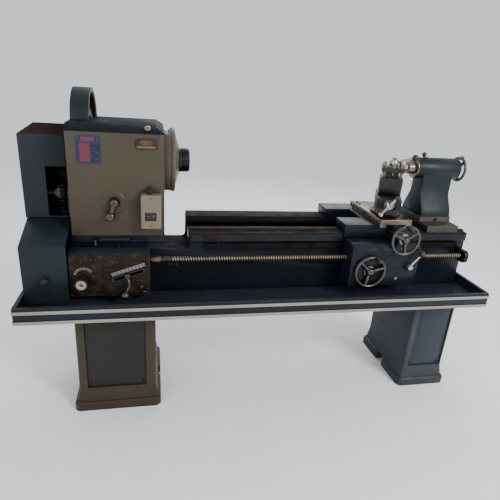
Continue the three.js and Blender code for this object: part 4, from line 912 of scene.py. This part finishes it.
# the rim's inner faces and the lip take the lightened olive: painted light
repaint(shell, "olive", lambda c, n: n.x > 0.5 and c.x > GUARD_X[1] - 0.8)
repaint(shell, "olive", faces_inwards)
lip = Build().prism("x", guard_band(3.5), (GUARD_X[1] - 5.4, GUARD_X[1] - 3), [guard_band(20)])
piece("belt_guard_lip", lip, "olive", "frame", bevel=0.5)

# ---- motor ----
mot = Build()
mot.lathe("x", [(-736, 0), (-736, 22), (-733, 26), (-730, 56), (-722, 70), (-704, 74), (-702, 76), (-512, 76),
                (-508, 74), (-506, 76), (-478, 74), (-472, 66), (-470, 52), (-470, 0)], MOTOR, 64)
for i in range(36):
    t = math.tau * i / 36
    if 0.9 < t < 2.24 or 4.0 < t < 5.4:
        continue
    spin = placed((0, MOTOR_Y, MOTOR_Z), t, "X")
    mot.box((-700, -516), (72, 80), (-1.5, 1.5), spin)
for y in (-50, 50):
    mot.box((-696, -662), (MOTOR_Y + y - 16, MOTOR_Y + y + 16), (MOTOR_Z - 92, MOTOR_Z - 52))
    mot.box((-564, -530), (MOTOR_Y + y - 16, MOTOR_Y + y + 16), (MOTOR_Z - 92, MOTOR_Z - 52))
mot.box((-696, -530), (MOTOR_Y - 66, MOTOR_Y + 66), (MOTOR_Z - 92, MOTOR_Z - 80))
mot.prism("z", rounded((-642, -558), (MOTOR_Y - 36, MOTOR_Y + 36), 6, 4), (MOTOR_Z + 60, MOTOR_Z + 98))
mot.prism("z", rounded((-644, -556), (MOTOR_Y - 38, MOTOR_Y + 38), 7, 4), (MOTOR_Z + 99, MOTOR_Z + 106))
for x in (-636, -564):
    for y in (-30, 30):
        mot.bolt("z", (x, MOTOR_Y + y, MOTOR_Z + 104), 4, 1)
piece("motor_body", mot, "blue", "frame", "motor", 0.9)
piece("motor_shelf", copied("motor_bracket"), "blue", "frame", "motor_bracket", 1.5)

# ---- plates, switch and lever on the headstock front ----
def plate(name, x, z, depth, radius, material, slot, replaces=()):
    """A thin plate with rounded corners on the headstock's front."""
    b = Build().prism("y", rounded(x, z, radius, 5), depth)
    piece(name, b, material, "frame", replaces, 0.25, slot=slot)


F = HEAD_FRONT
plate("speed_plate_back", (-788, -700), (1125, 1229), (F - 1.4, F - 0.4), 8, "plate_blue", "speed_plate",
      "speed_plate")
plate("speed_plate_red", (-776, -738), (1130, 1201), (F - 1.8, F - 1.2), 1.5, "plate_red", "speed_plate")
plate("speed_plate_head", (-769, -721), (1208, 1224), (F - 1.8, F - 1.2), 2, "plate_red", "speed_plate")
cells = Build()
for row in range(5):
    for x in (-734, -718):
        z = 1133 + row * 13.6
        cells.prism("y", rounded((x, x + 12), (z, z + 7.4), 1, 2), (F - 1.8, F - 1.2))
piece("speed_plate_cells", cells, "plate_dark", "frame")
words = Build()
for x in (-764, -754, -744, -734):
    words.prism("y", rounded((x, x + 7), (1213.5, 1218.5), 1, 2), (F - 2.2, F - 1.7))
for x, z in ((-732, 1180), (-716, 1166), (-732, 1152), (-716, 1139), (-783, 1214), (-712, 1214)):
    words.prism("y", rounded((x, x + 6), (z, z + 2.4), 0.8, 2), (F - 2.2, F - 1.0))
piece("speed_plate_words", words, "plate_pale", "frame")
bars = Build()
for row in range(5):
    bars.prism("y", rounded((-773, -741), (1137 + row * 13, 1138 + row * 13), 0.4, 2), (F - 2.0, F - 1.5))
bars.prism("y", rounded((-759.6, -758.6), (1132, 1198), 0.4, 2), (F - 2.0, F - 1.5))
bars.prism("y", rounded((-783, -705), (1205, 1206.2), 0.5, 2), (F - 1.8, F - 1.2))
for x, z in ((-783.5, 1129.5), (-704.5, 1129.5), (-783.5, 1224.5), (-704.5, 1224.5)):
    bars.rod("y", 1.6, (F - 2.0, F - 1.0), (x, z), 16)
piece("speed_plate_lines", bars, "plate_pale", "frame")
plate("name_badge_back", (-574, -489), (1184, 1226), (F - 1.4, F - 0.4), 9, "badge", "black_plastic",
      "name_badge")


def oval(across, up):
    """The badge's oval, with its half width and half height."""
    steps = [k * math.pi / 24 for k in range(48)]
    return [(-531.5 + across * math.cos(t), 1209.5 + up * math.sin(t)) for t in steps]


badge = Build()
badge.prism("y", rounded((-567, -496), (1189, 1197), 2, 3), (F - 2.0, F - 1.2))
badge.prism("y", oval(24, 8.5), (F - 2.0, F - 1.2), [oval(20.5, 5.8)])
badge.prism("y", rounded((-545, -518), (1207.6, 1211.4), 1.8, 3), (F - 2.0, F - 1.2))
piece("name_badge_pattern", badge, "orange", "frame")

KNOB = (-657, 975)
lever = Build()
lever.rod("y", 8.8, (F - 18, F + 20), KNOB)
lever.lathe("y", [(-33, 0), (-33, 10), (-31.5, 14), (-28, 16.5), (-22, 17.5), (-15, 19), (-8, 21),
                  (-5.6, 21.5), (-5.6, 0)], KNOB, 48, start=F)
swing = placed(on_axis("y", F - 24, *KNOB, (0, 0)), 0.28, "Y")
lever.lathe("z", [(-46, 0), (-46, 11), (-30, 9.4), (-10, 10.4), (-2, 11), (-2, 0)], (0, 0), 28, swing)
knob = Matrix.Translation((-673, F - 25, 922))
lever.lathe("y", [(-18, 0), (-18, 10), (-16, 14.5), (-11, 18), (-2, 19.6), (6, 17), (11, 10), (13, 0)],
            (0, 0), 40, knob)
piece("selector_handle", lever, "bronze", "selector", "speed_selector", 0, 35)

BF = -262  # the starter box's front
box = loose(Build().prism("y", rounded((-554, -476), (881, 1016), 7, 6), (BF, F - 5)))
boolean(box, Build().prism("y", rounded((-540, -495), (913, 947), 2.5, 4), (BF - 5, BF + 5)))
for x in (-527, -507):
    boolean(box, Build().rod("y", 7.2, (BF - 5, BF + 30), (x, 930), 32, 0.01))
piece("starter_cover", box, "cream", "frame", "starter_box", 2.4, 32, 3)
back = Build().prism("y", rounded((-560, -478), (884, 1019), 8, 6), (F - 7, F - 0.3))
piece("starter_backplate", back, "black", "frame", bevel=1.0)
frame_ring = Build().prism("y", rounded((-540, -495), (913, 947), 2.5, 4), (BF - 0.4, BF + 3),
                           [rounded((-537.5, -497.5), (915.5, 944.5), 2, 4)])
frame_ring.prism("y", rounded((-539, -496), (914, 946), 2, 3), (BF + 4, BF + 5.6),
                 [circle(-527, 930, 7.0, 28), circle(-507, 930, 7.0, 28)])
piece("starter_window", frame_ring, "black", "frame", bevel=0.3)
for name, x, m, slot in (("start", -527, "green", "green_plastic"), ("stop", -507, "red", "red_plastic")):
    b = Build().lathe("y", [(1, 0), (1.2, 4.4), (2.2, 5.8), (4, 6.2), (26, 6.2), (26, 0)], (x, 930), 32,
                      start=BF)
    piece(name + "_button_cap", b, m, name, name + "_button", 0, 40, slot=slot)
screws = Build()
for z in (892, 1004):
    screws.bolt("y", (-515, BF, z), 3.6, -1)
piece("starter_screws", screws, "steel", "frame")
gland = Build()
gland.rod("z", 9, (1014, 1022), (-519, F - 30), 6, 0.8)
gland.rod("z", 7, (1021, 1027), (-519, F - 30), 24)
gland.tube([(-519, F - 30, 1019), (-519, F - 30, 1027), (-519, F - 24, 1036), (-519, F - 12, 1037),
            (-519, F - 1, 1034)], 4.5)
gland.rod("y", 8.5, (F - 5, F - 0.4), (-519, 1034), 24)
piece("starter_lead", gland, "rubber", "frame", "starter_conduit", 0, 40)

# ---- end covers ----
upper = copied("end_cover_upper")
boolean(upper, Build().prism("y", rounded((-921, -800), (890, 1085), (8, 0, 0, 8), 5), (-140, -104)))
piece("upper_cover_sheet", upper, "blue", "upper_cover", "end_cover_upper", 1.4)
roof = Build()
cover_slope = math.atan2(15, 260)
tilt = placed((0, -110, 1211), cover_slope, "X")
roof.prism("z", rounded((-1013, -847), (2, 258), 3, 4), (0.1, 1.0), (), tilt)
piece("upper_cover_roof", roof, "cover_top", "upper_cover", bevel=0.3, slot="blue_paint")
hinge = Build()
for z in (930, 1160):
    hinge.rod("z", 5, (z - 22, z + 22), (-847.6, 153.5), 24)
    hinge.box((-880, -848), (149.6, 151.6), (z - 20, z + 20))
piece("upper_cover_hinges", hinge, "dark", "upper_cover", bevel=0.3)
lower = Build()
L0, L1, LF, LB = -1011, -841, -280, 150  # the lower cover's ends, front and back
outline = [(LF, 567), (LF, 811), (-110, 876), (LB, 876), (LB, 567)]
inner = [(LF + 3, 550), (LF + 3, 808), (-107, 873), (-107, 890), (LB - 3, 890), (LB - 3, 550)]
lower_obj = loose(lower.prism("x", outline, (L0, L1)))
boolean(lower_obj, Build().prism("x", inner, (L0 + 3, L1 + 10)))
piece("lower_cover_sheet", lower_obj, "blue", "frame", "end_cover_lower", 2.0)
flange = Build().prism("x", [(LB - 7, 856), (LB - 5, 856), (LB - 5, 888), (LB - 7, 888)], (L0 + 7, L1 - 6))
for x in (L0 + 30, L1 - 40):
    flange.bolt("y", (x, LB - 7, 866), 4, -1)
piece("lower_cover_flange", flange, "blue", "frame", bevel=0.2)
star = Build().lathe("y", [(-26, 0), (-26, 9), (-24.6, 12), (-20, 15), (-13, 15), (-9, 10.5), (-6, 8.5),
                           (-1.5, 9), (-1.5, 13), (1, 13), (1, 0)], (-925, 672), 40, start=LF)
piece("lower_cover_knob", star, "blue", "frame", smooth=35)

# ---- feed gearbox and leadscrew ----
K = FEED_FRONT
SLANT = 0.33
INDEX_X = -608
feed_box = piece("feed_box_casting", copied("feed_gearbox"), "primer", "frame", "feed_gearbox", 1.8)
repaint(feed_box, "tray", lambda c, n: (n.z > 0.85 and c.z > 770) or (n.x > 0.85 and c.x > -535))
cs, sn = math.cos(SLANT), math.sin(SLANT)
level_hole = rounded((-65, 65), (-8.5, 8.5), 6, 4)
slot_hole = [(INDEX_X + u * cs - v * sn, 686 + u * sn + v * cs) for u, v in level_hole]
raised = Build().prism("y", rounded((-702, -532), (596, 742), 6, 4), (K - 10.2, K - 8.6), [slot_hole])
piece("feed_box_plate", raised, "dark_primer", "frame", bevel=0.4)
tilt = placed((INDEX_X, 0, 712), -SLANT, "Y")
strip = Build().prism("y", rounded((-70, 70), (-7.5, 7.5), 2.5, 4), (K - 12, K - 10.3), (), tilt)
piece("feed_index_strip", strip, "grey", "frame", "feed_index_plate", 0.2, slot="cream_enamel")
ticks = Build()
for i in range(9):
    x = -60 + i * 15
    ticks.box((x - 0.7, x + 0.7), (K - 12.6, K - 11.8), (-6, -1), tilt)
    ticks.box((x - 2.2, x + 2.2), (K - 12.6, K - 11.8), (1, 4.6), tilt)
piece("feed_index_marks", ticks, "black", "frame")
slot_back = Build().prism("y", rounded((-67, 67), (-9.6, 9.6), 6, 4), (K - 11.4, K - 9.8),
                          [rounded((-62, 62), (-6.6, 6.6), 5, 4)], placed((INDEX_X, 0, 686), -SLANT, "Y"))
piece("feed_slot_frame", slot_back, "iron", "frame", bevel=0.3, slot="primer_iron")
DX, DZ = DIAL = (-787, 665)
scale = Build()
SCALE = (DX + 4, DZ + 15)
for inner, outer in ((37, 39), (30.5, 32)):
    arc = [polar(outer, math.radians(a), SCALE) for a in range(35, 151, 5)]
    arc += [polar(inner, math.radians(a), SCALE) for a in range(150, 34, -5)]
    scale.prism("y", arc, (K - 1.0, K - 0.2))
for a in range(35, 151, 23):
    t = math.radians(a)
    spin = placed(on_axis("y", 0, *polar(34.5, t), SCALE), -t, "Y")
    scale.box((-2.6, 2.6), (K - 1.0, K - 0.2), (-0.7, 0.7), spin)
scale.rod("y", 3.2, (K - 1.6, K - 0.2), (SCALE[0] - 33, SCALE[1] + 13), 20)
piece("feed_dial_scale", scale, "white", "frame")
dial = Build().rod("y", 7.8, (K - 8, K + 14), DIAL)
dial.lathe("y", [(-50, 0), (-50, 20), (-51.5, 21), (-52, 22.5), (-51.4, 24.4), (-49, 25.6), (-45, 26),
                 (-32, 23.5), (-18, 18), (-12, 17), (-6, 19.4), (-2, 20), (-2, 0)], DIAL, 56, start=K)
piece("feed_dial_turned", dial, "dark_primer", "feed_dial", "feed_dial_knob", 0, 35, slot="bare_steel")
disc = Build().lathe("y", [(-51, 0), (-51.4, 0), (-51.4, 19.4), (-50, 19.8), (-50, 0)], DIAL, 48, start=K)
piece("feed_dial_face", disc, "white", "feed_dial", smooth=35)
arrow = Build().prism("y", [(DX - 11, DZ + 2), (DX + 3, DZ + 8), (DX + 4, DZ + 3), (DX + 11, DZ - 3),
                            (DX + 3, DZ - 6), (DX - 2, DZ - 3)], (K - 52, K - 51.2))
piece("feed_dial_arrow", arrow, "black", "feed_dial")
tumbler = Build()
tumbler.tube([(-612, K + 13, 685), (-612, K - 4, 685), (-612, K - 20, 685), (-607, K - 33, 672),
              (-604, K - 38, 650), (-611, K - 40, 634), (-619, K - 42, 620)], [5, 5, 5, 5.4, 6, 6.4, 6], 24)
tumbler.lathe("y", [(-26, 0), (-26, 9), (-24, 11), (-14, 11), (-13, 9), (-13, 0)], (-612, 685), 32, start=K)
tumbler.ball(18.5, (-622, K - 42, 609), 36)
piece("tumbler_handle", tumbler, "bronze", "feed_tumbler", "tumbler_lever", 0, 40)
extras = Build()
for x, z in ((-816, 752), (-735, 756), (-540, 752), (-816, 612), (-724, 612), (-752, 756), (-660, 760)):
    extras.bolt("y", (x, K, z), 6, -1)
for x, z in ((-694, 735), (-540, 735), (-694, 604), (-640, 604)):
    extras.bolt("y", (x, K - 10.2, z), 4.5, -1)
for z in (624, 660, 722, 752):
    extras.bolt("x", (-524, -262, z), 4, 1)
extras.bolt("z", (-652, -190, 775), 9, 1)
piece("feed_box_screws", extras, "dark", "frame")
small = Build()
for x, z in ((-556, 640), (-546, 616)):
    small.lathe("y", [(-34, 0), (-33, 5), (-29, 8.4), (-23, 8.4), (-19, 5), (-9.5, 5), (-9.5, 0)], (x, z),
                32, start=K)
piece("feed_box_plungers", small, "bronze", "frame", smooth=35)

screw = Build().screw(LEAD_R, 2.4, 11, (-438, 953), LEADSCREW, 24)
screw.lathe("x", [(-545, 0), (-545, 10), (-520, 10), (-520, 14.6), (-516, 15.2), (-484, 15.2), (-480, 14.6),
                  (-480, 10.4), (-437, 10.4), (-437, 0)], LEADSCREW, 40)
screw.lathe("x", [(952, 0), (952, 9), (982, 9), (982, 0)], LEADSCREW, 32)
threads = piece("leadscrew_thread", screw, "screw", "lead_screw", "leadscrew", 0, 60)
repaint(threads, "collar", lambda c, n: c.x < -479)
piece("leadscrew_bracket", copied("leadscrew_end_bracket"), "bed", "frame", "leadscrew_end_bracket", 1.5)
tip = Build().lathe("x", [(978.4, 9.6), (978.4, 15), (981, 16), (986, 14), (989, 8), (990, 0), (982.6, 0),
                          (982.6, 9.6)], LEADSCREW, 32)
tip.bolt("z", (968, -240, 758), 5, 1)
piece("leadscrew_end_cap", tip, "dark", "frame")


# ---- carriage ----
piece("saddle_casting", copied("saddle"), "bed", "carriage", "saddle", 1.8, 32)
piece("apron_casting", copied("apron"), "bed", "carriage", "apron", 2.4, 32, slot="primer_iron")
AX = (CARRIAGE_X - 221, CARRIAGE_X + 111)
AF = -290  # the apron's front
trimmed = Build()
for x in (AX[0] + 18, AX[1] - 18):
    for z in (640, 792):
        trimmed.bolt("y", (x, AF, z), 6, -1)
trimmed.lathe("y", [(-4, 0), (-4, 9), (-3, 11), (0, 12), (1, 12), (1, 0)], (CARRIAGE_X + 10, 650), 32,
              start=AF)
piece("apron_screws", trimmed, "dark", "carriage")
sight = Build().lathe("y", [(-4.6, 0), (-4.6, 7.5), (-3.8, 7.8), (-3.8, 0)], (CARRIAGE_X + 10, 650), 32,
                      start=AF)
piece("apron_oil_sight", sight, "oil_glass", "carriage")


def wheel(name, node, axis, out, centre, at_face, rim_r, rim_w, hub, body, turn, dish, shaft, grip=True):
    """A dished handwheel. out is the sign it faces; at_face is where its rim sits along the axis."""
    def s(v):
        return at_face + out * v
    b = Build()
    steps = 20
    rim = []
    for i in range(steps):
        t = math.tau * i / steps
        rim.append((s(rim_w * math.cos(t)), rim_r - rim_w * 0.72 + rim_w * 0.95 * math.sin(t)))
    b.lathe(axis, rim, centre, 96)
    hub_r, h0, h1 = hub
    b.lathe(axis, [(s(h0), 0), (s(h0), hub_r + 2), (s(h0 + 4), hub_r + 3), (s(h1 - 8), hub_r),
                   (s(h1 - 2), hub_r - 3), (s(h1), hub_r - 7), (s(h1), 0)], centre, 56)
    for k in range(3):
        t = turn + math.tau * k / 3
        pts = []
        for r, w in ((hub_r - 4, dish), (rim_r * 0.42, dish * 0.75), (rim_r * 0.66, dish * 0.25),
                     (rim_r - rim_w * 1.1, 0)):
            pts.append(on_axis(axis, s(-w), *polar(r, t), centre))
        b.tube(pts, [8.5, 8, 7, 6.6])
    b.lathe(axis, [(s(h1 - 1), 0), (s(h1 - 1), 9), (s(h1 + 1), 9), (s(h1 + 2), 7), (s(h1 + 2), 0)], centre, 6)
    b.lathe(axis, [(shaft, 0), (shaft, 7.8), (s(h0 + 1), 7.8), (s(h0 + 1), 0)], centre, 40)
    piece(name, b, "rim", body, node, 0, 40, slot="chrome")
    if grip:
        g = polar(rim_r - rim_w * 0.72, turn + math.pi / 3, centre)
        h = Build()
        h.lathe(axis, [(s(-4), 0), (s(-4), 5), (s(9), 5), (s(9), 8), (s(11), 9), (s(15), 9.6), (s(26), 11.4),
                       (s(38), 11.6), (s(46), 9.6), (s(50), 5.5), (s(51), 0)], g, 36)
        piece(name + "_grip", h, "black", body, smooth=40, slot="chrome")


APRON_WHEEL = (CARRIAGE_X - 130, 691)
wheel("carriage_wheel_rim", "carriage_handwheel", "y", -1, APRON_WHEEL, -306, 75, 7.4, (17, -11, 13),
      "carriage_wheel", turn=0.3, dish=4, shaft=-266)
collar = Build().lathe("y", [(-292, 0), (-292, 24), (-296, 25), (-297, 25), (-297, 0)], APRON_WHEEL, 56)
piece("carriage_wheel_collar", collar, "steel_y", "carriage_wheel", smooth=40)

CROSS_WHEEL = (CARRIAGE_X, BED_TOP + CROSS_Z)
wheel("cross_wheel_rim", "cross_handwheel", "y", -1, CROSS_WHEEL, -330, 69, 7.0, (15, -8, 12), "cross_wheel",
      turn=0.62, dish=4, shaft=-181)
collar = Build().lathe("y", [(-318.6, 0), (-318.6, 25), (-319.6, 26), (-321, 26), (-321.6, 25), (-321.6, 0)],
                       CROSS_WHEEL, 64)
piece("cross_wheel_collar", collar, "steel_y", "cross_wheel", smooth=40)
sleeve = Build().lathe("y", [(-317.8, 9), (-317.8, 25), (-316.8, 26), (-296, 26), (-292, 22), (-260, 20.6),
                             (-260, 9)], CROSS_WHEEL, 64)
piece("cross_dial_sleeve", sleeve, "steel_y", "carriage", smooth=35)
marks = Build()
for i in range(60):
    t = math.tau * i / 60
    end = -317.4 + 8.4 * (1.0 if i % 5 == 0 else 0.55)
    at = on_axis("y", 0, *polar(26.1, t), CROSS_WHEEL)
    marks.box((-0.4, 0.25), (-317.4, end), (-0.35, 0.35), placed(at, -t, "Y"))
piece("cross_dial_marks", marks, "black", "carriage")

NX, NZ = HALF_NUT = (CARRIAGE_X + 62, 711)
nut = Build().rod("y", 6.8, (-314, -262), HALF_NUT)
nut.lathe("y", [(-317, 0), (-317, 9), (-315.6, 12), (-311, 14), (-301, 15.5), (-293.4, 17.4), (-290.6, 17.4),
                (-290.6, 0)], HALF_NUT, 44)
nut.tube([(NX + 4, -306, NZ + 8), (NX + 14, -310, NZ + 26), (NX + 26, -315, NZ + 46),
          (NX + 36, -320, NZ + 63)], [6.6, 5.8, 5.6, 5.4], 22)
piece("half_nut_handle", nut, "chrome", "half_nut", "half_nut_lever", 0, 40)
piece("half_nut_ball", Build().ball(15, (NX + 39, -321, NZ + 70), 36), "black", "half_nut", smooth=50)

piece("cross_slide_casting", copied("cross_slide"), "steel", "cross", "cross_slide", 1.2)
fit = Build()
TOP = BED_TOP + CROSS_TOP
for y in (-205, -186, 40, 72):
    for x in (-62, 62):
        fit.bolt("z", (CARRIAGE_X + x, y, TOP), 5.5, 1)
for y in (-190, -120, -50, 20, 70):
    fit.bolt("x", (CARRIAGE_X - 78, y, TOP - 16), 4.5, -1)
    fit.bolt("x", (CARRIAGE_X + 78, y, TOP - 16), 4.5, 1)
piece("cross_slide_screws", fit, "dark", "cross")

swivel = placed((CARRIAGE_X, PIVOT_Y, TOP), COMPOUND_ANGLE, "Z")
base = Build()
base.lathe("z", [(0.4, 0), (0.4, 70), (2, 71), (12, 71), (14, 70), (16.2, 66), (16.2, 0)], (0, 0), 80, swivel)
base.prism("z", rounded((-52, 52), (-92, 104), 5, 4), (15, 46.2), (), swivel)
base.prism("y", [(-22, 45), (22, 45), (32, 58), (-32, 58)], (-92, 104), (), swivel)
piece("compound_swivel_base", base, "iron", "swivel", "compound_base", 0.7, 32)
deg = Build()
for i in range(-9, 10):
    t = math.radians(i * 5 - 90)
    m = swivel @ placed((*polar(71, t), 0), t, "Z")
    deg.box((-0.4, 0.3), (-0.35, 0.35), (4 if i % 2 else 2.5, 11), m)
piece("compound_degree_marks", deg, "black", "swivel")
piece("compound_slide_casting", copied("compound_slide"), "blue", "compound", "compound_slide", 1.6)
gib = Build()
for y in (-90, -30, 30, 70):
    gib.lathe("x", [(-56, 0), (-56, 3.4), (-55.4, 4), (-52, 4), (-52, 0)], (y, 60), 24, swivel)
piece("compound_gib_screws", gib, "dark", "compound")
nose_ring = Build().lathe("y", [(-145.6, 6.4), (-145.6, 21), (-144, 22.4), (-134, 22.4), (-124, 20),
                                (-118.6, 19), (-118.6, 6.4)], (0, 72), 56, swivel)
piece("compound_dial_ring", nose_ring, "steel_y", "compound", smooth=35)
crank = Build()
crank.lathe("y", [(-176, 0), (-176, 9), (-174, 12.5), (-169, 14.2), (-150, 14.2), (-146.6, 16), (-146.4, 16),
                  (-146.4, 0)], (0, 72), 48, swivel)
arm = swivel @ placed((0, -164, 72), 0.6, "Y")
crank.lathe("z", [(-46, 0), (-46, 5), (-30, 5.5), (-12, 7.5), (12, 7.5), (30, 5.5), (50, 5.2), (53, 7.5),
                  (58, 5), (58, 0)], (0, 0), 32, arm)
crank.ball(11, swivel @ Vector((-29, -164, 29)), 30)
piece("compound_crank_bar", crank, "chrome", "compound_crank", "compound_handle", 0, 40)
grip = Build().lathe("y", [(-208, 0), (-207.6, 5), (-205, 8), (-198, 10.4), (-188, 11), (-176, 9.4),
                           (-164, 7.6), (-160, 7.4), (-160, 0)], (29, 115), 40, swivel)
piece("compound_crank_grip", grip, "black", "compound_crank", smooth=40)

P0, P1 = 92.4, 220  # the tool post's bottom and top over the cross slide
post = Build().prism("z", rounded((-50, 50), (-50, 50), 5, 5), (P0, P1), (), swivel)
post_obj = loose(post)
for k in range(4):
    q = swivel @ Matrix.Rotation(k * math.pi / 2, 4, "Z")
    boolean(post_obj, Build().box((-60, 60), (-60, -28), (P1 - 46, P1 - 18), q))
piece("tool_post_block", post_obj, "dark", "post", "tool_post", 1.4)
top = Build()
top.lathe("z", [(-1, 0), (-1, 31), (1, 31), (6, 26.4), (6, 10), (40, 10), (42, 8.4), (42, 0)], (0, 0), 48,
          swivel, start=P1)
for k in range(4):
    q = swivel @ Matrix.Rotation(k * math.pi / 2, 4, "Z")
    for x in (-34, 0, 34):
        top.lathe("z", [(-34, 0), (-34, 4), (2, 4), (2, 0)], (x, -40), 20, q, start=P1)
        half = 5.4
        square = [(x - half, -40 - half), (x + half, -40 - half), (x + half, -40 + half),
                  (x - half, -40 + half)]
        top.prism("z", square, (P1 + 1.6, P1 + 15), (), q)
        top.lathe("z", [(-0.4, 0), (-0.4, 7), (2, 7), (2, 0)], (x, -40), 24, q, start=P1)
piece("tool_post_screws", top, "steel", "post", bevel=0.4, smooth=35)
clamp = Build()
clamp.lathe("z", [(8, 10.5), (8, 21), (11, 21.6), (26, 19), (32, 16.6), (34, 14), (34, 10.5)], (0, 0), 48,
            swivel, start=P1)
arm = swivel @ placed((0, 0, P1 + 18), -0.35, "Y")
clamp.lathe("x", [(14, 0), (14, 7.5), (40, 6.4), (80, 5.6), (84, 0)], (0, 0), 28, arm)
piece("tool_post_handle", clamp, "chrome", "post_lever", "tool_post_lever", 0, 40)
piece("tool_post_handle_ball", Build().ball(14.4, swivel @ Vector((88, 0, P1 + 50)), 36), "black",
      "post_lever", smooth=50)

# ---- tailstock ----
piece("tailstock_sole", copied("tailstock_base"), "iron", "tailstock", "tailstock_base", 1.5)
piece("tailstock_casting", copied("tailstock_body"), "blue", "tailstock", "tailstock_body", 2.0, 34)
caps = Build()
caps.lathe("x", [(-117, 30.5), (-117, 47), (-115, 50), (-111.5, 50.5), (-111.5, 30.5)], SPINDLE, 72,
           start=TAIL_X)
caps.lathe("x", [(117.6, 8.4), (117.6, 40), (119.6, 40), (120.4, 39), (120.4, 8.4)], SPINDLE, 56,
           start=TAIL_X)
piece("tailstock_end_rings", caps, "steel", "tailstock", smooth=35)
bolts = Build()
for y in (-1, 1):
    bolts.bolt("z", (TAIL_X - 66, y * 86, BED_TOP + 58), 8, 1, True)
    bolts.bolt("z", (TAIL_X + 66, y * 86, BED_TOP + 58), 8, 1, True)
    bolts.bolt("y", (TAIL_X, y * 96, BED_TOP + 46), 7, y)
piece("tailstock_bolts", bolts, "dark", "tailstock", bevel=0.3)
bar = Build()
bar.lathe("x", [(-152, 0), (-152, 26), (-150, 29), (-148, 29.6), (60, 29.6), (60, 0)], SPINDLE, 64,
          start=TAIL_X)
piece("quill_bar", bar, "steel", "quill", "tailstock_quill", 0, 35)
piece("quill_centre", Build().lathe("x", [(-190, 0), (-163, 15.6), (-151, 16.4), (-151, 0)], SPINDLE, 48,
                                    start=TAIL_X), "chrome", "quill", smooth=35, slot="bare_steel")
wheel("tailstock_wheel_rim", "tailstock_handwheel", "x", 1, SPINDLE, TAIL_X + 134, 61, 6.6, (14, -10, 11),
      "tailstock_wheel", turn=0.2, dish=3, shaft=TAIL_X + 95, grip=False)
grip = Build().lathe("x", [(130, 0), (130, 5), (140, 5), (140, 7.6), (144, 9), (156, 10.6), (163, 9),
                           (167, 4.6), (168, 0)], polar(55, 0.2 + math.pi / 3, SPINDLE), 36, start=TAIL_X)
piece("tailstock_wheel_grip", grip, "black", "tailstock_wheel", smooth=40)
CX = TAIL_X - 62
clamp = Build().rod("z", 6.8, (SPINDLE_Z + 42, SPINDLE_Z + 56), (CX, 0))
clamp.lathe("z", [(53.6, 0), (53.6, 13.4), (55, 14), (63, 12.6), (66, 10), (66.4, 0)], (CX, 0), 40,
            start=SPINDLE_Z)
clamp.tube([(CX - 4, -5, SPINDLE_Z + 61), (CX - 18, -22, SPINDLE_Z + 65), (CX - 38, -48, SPINDLE_Z + 72)],
           [5.6, 5, 4.8])
piece("quill_clamp_handle", clamp, "chrome", "quill_clamp", "quill_clamp_lever", 0, 40)
piece("quill_clamp_ball", Build().ball(11, (CX - 43, -54, SPINDLE_Z + 74), 32), "black", "quill_clamp",
      smooth=50)


# ---- floor, light and world ----
def studio():
    """A pale floor, soft lamps and a pale sky."""
    b = Build().box((-6000, 6000), (-5000, 7000), (-20, 0))
    floor = loose(b, "floor")
    g = Graph("pale_floor")
    tone = g.ramp(g.noise(3, 4, 0.6), 0.3, 0.7)
    floor.data.materials.append(g.finish(g.mix(tone, (0.90, 0.90, 0.89), (0.93, 0.93, 0.92)), 0.7))
    world = bpy.data.worlds.new("studio")
    world.use_nodes = True
    world.node_tree.nodes["Background"].inputs["Color"].default_value = (0.92, 0.96, 1.0, 1)
    world.node_tree.nodes["Background"].inputs["Strength"].default_value = 0.95
    bpy.context.scene.world = world
    for name, at, aim, size, watts in (("key", (2.6, -3.6, 3.2), (-0.4, 0, 0.9), 1.3, 190),
                                       ("fill", (-3.2, -3.2, 2.4), (-0.2, 0, 0.7), 3.0, 50),
                                       ("rim", (0.6, 3.2, 3.2), (0, 0, 1.0), 2.4, 70)):
        data = bpy.data.lights.new(name, "AREA")
        data.energy = watts
        data.size = size
        lamp = bpy.data.objects.new(name, data)
        bpy.context.scene.collection.objects.link(lamp)
        lamp.location = at
        lamp.rotation_euler = (Vector(aim) - Vector(at)).to_track_quat("-Z", "Y").to_euler()


studio()
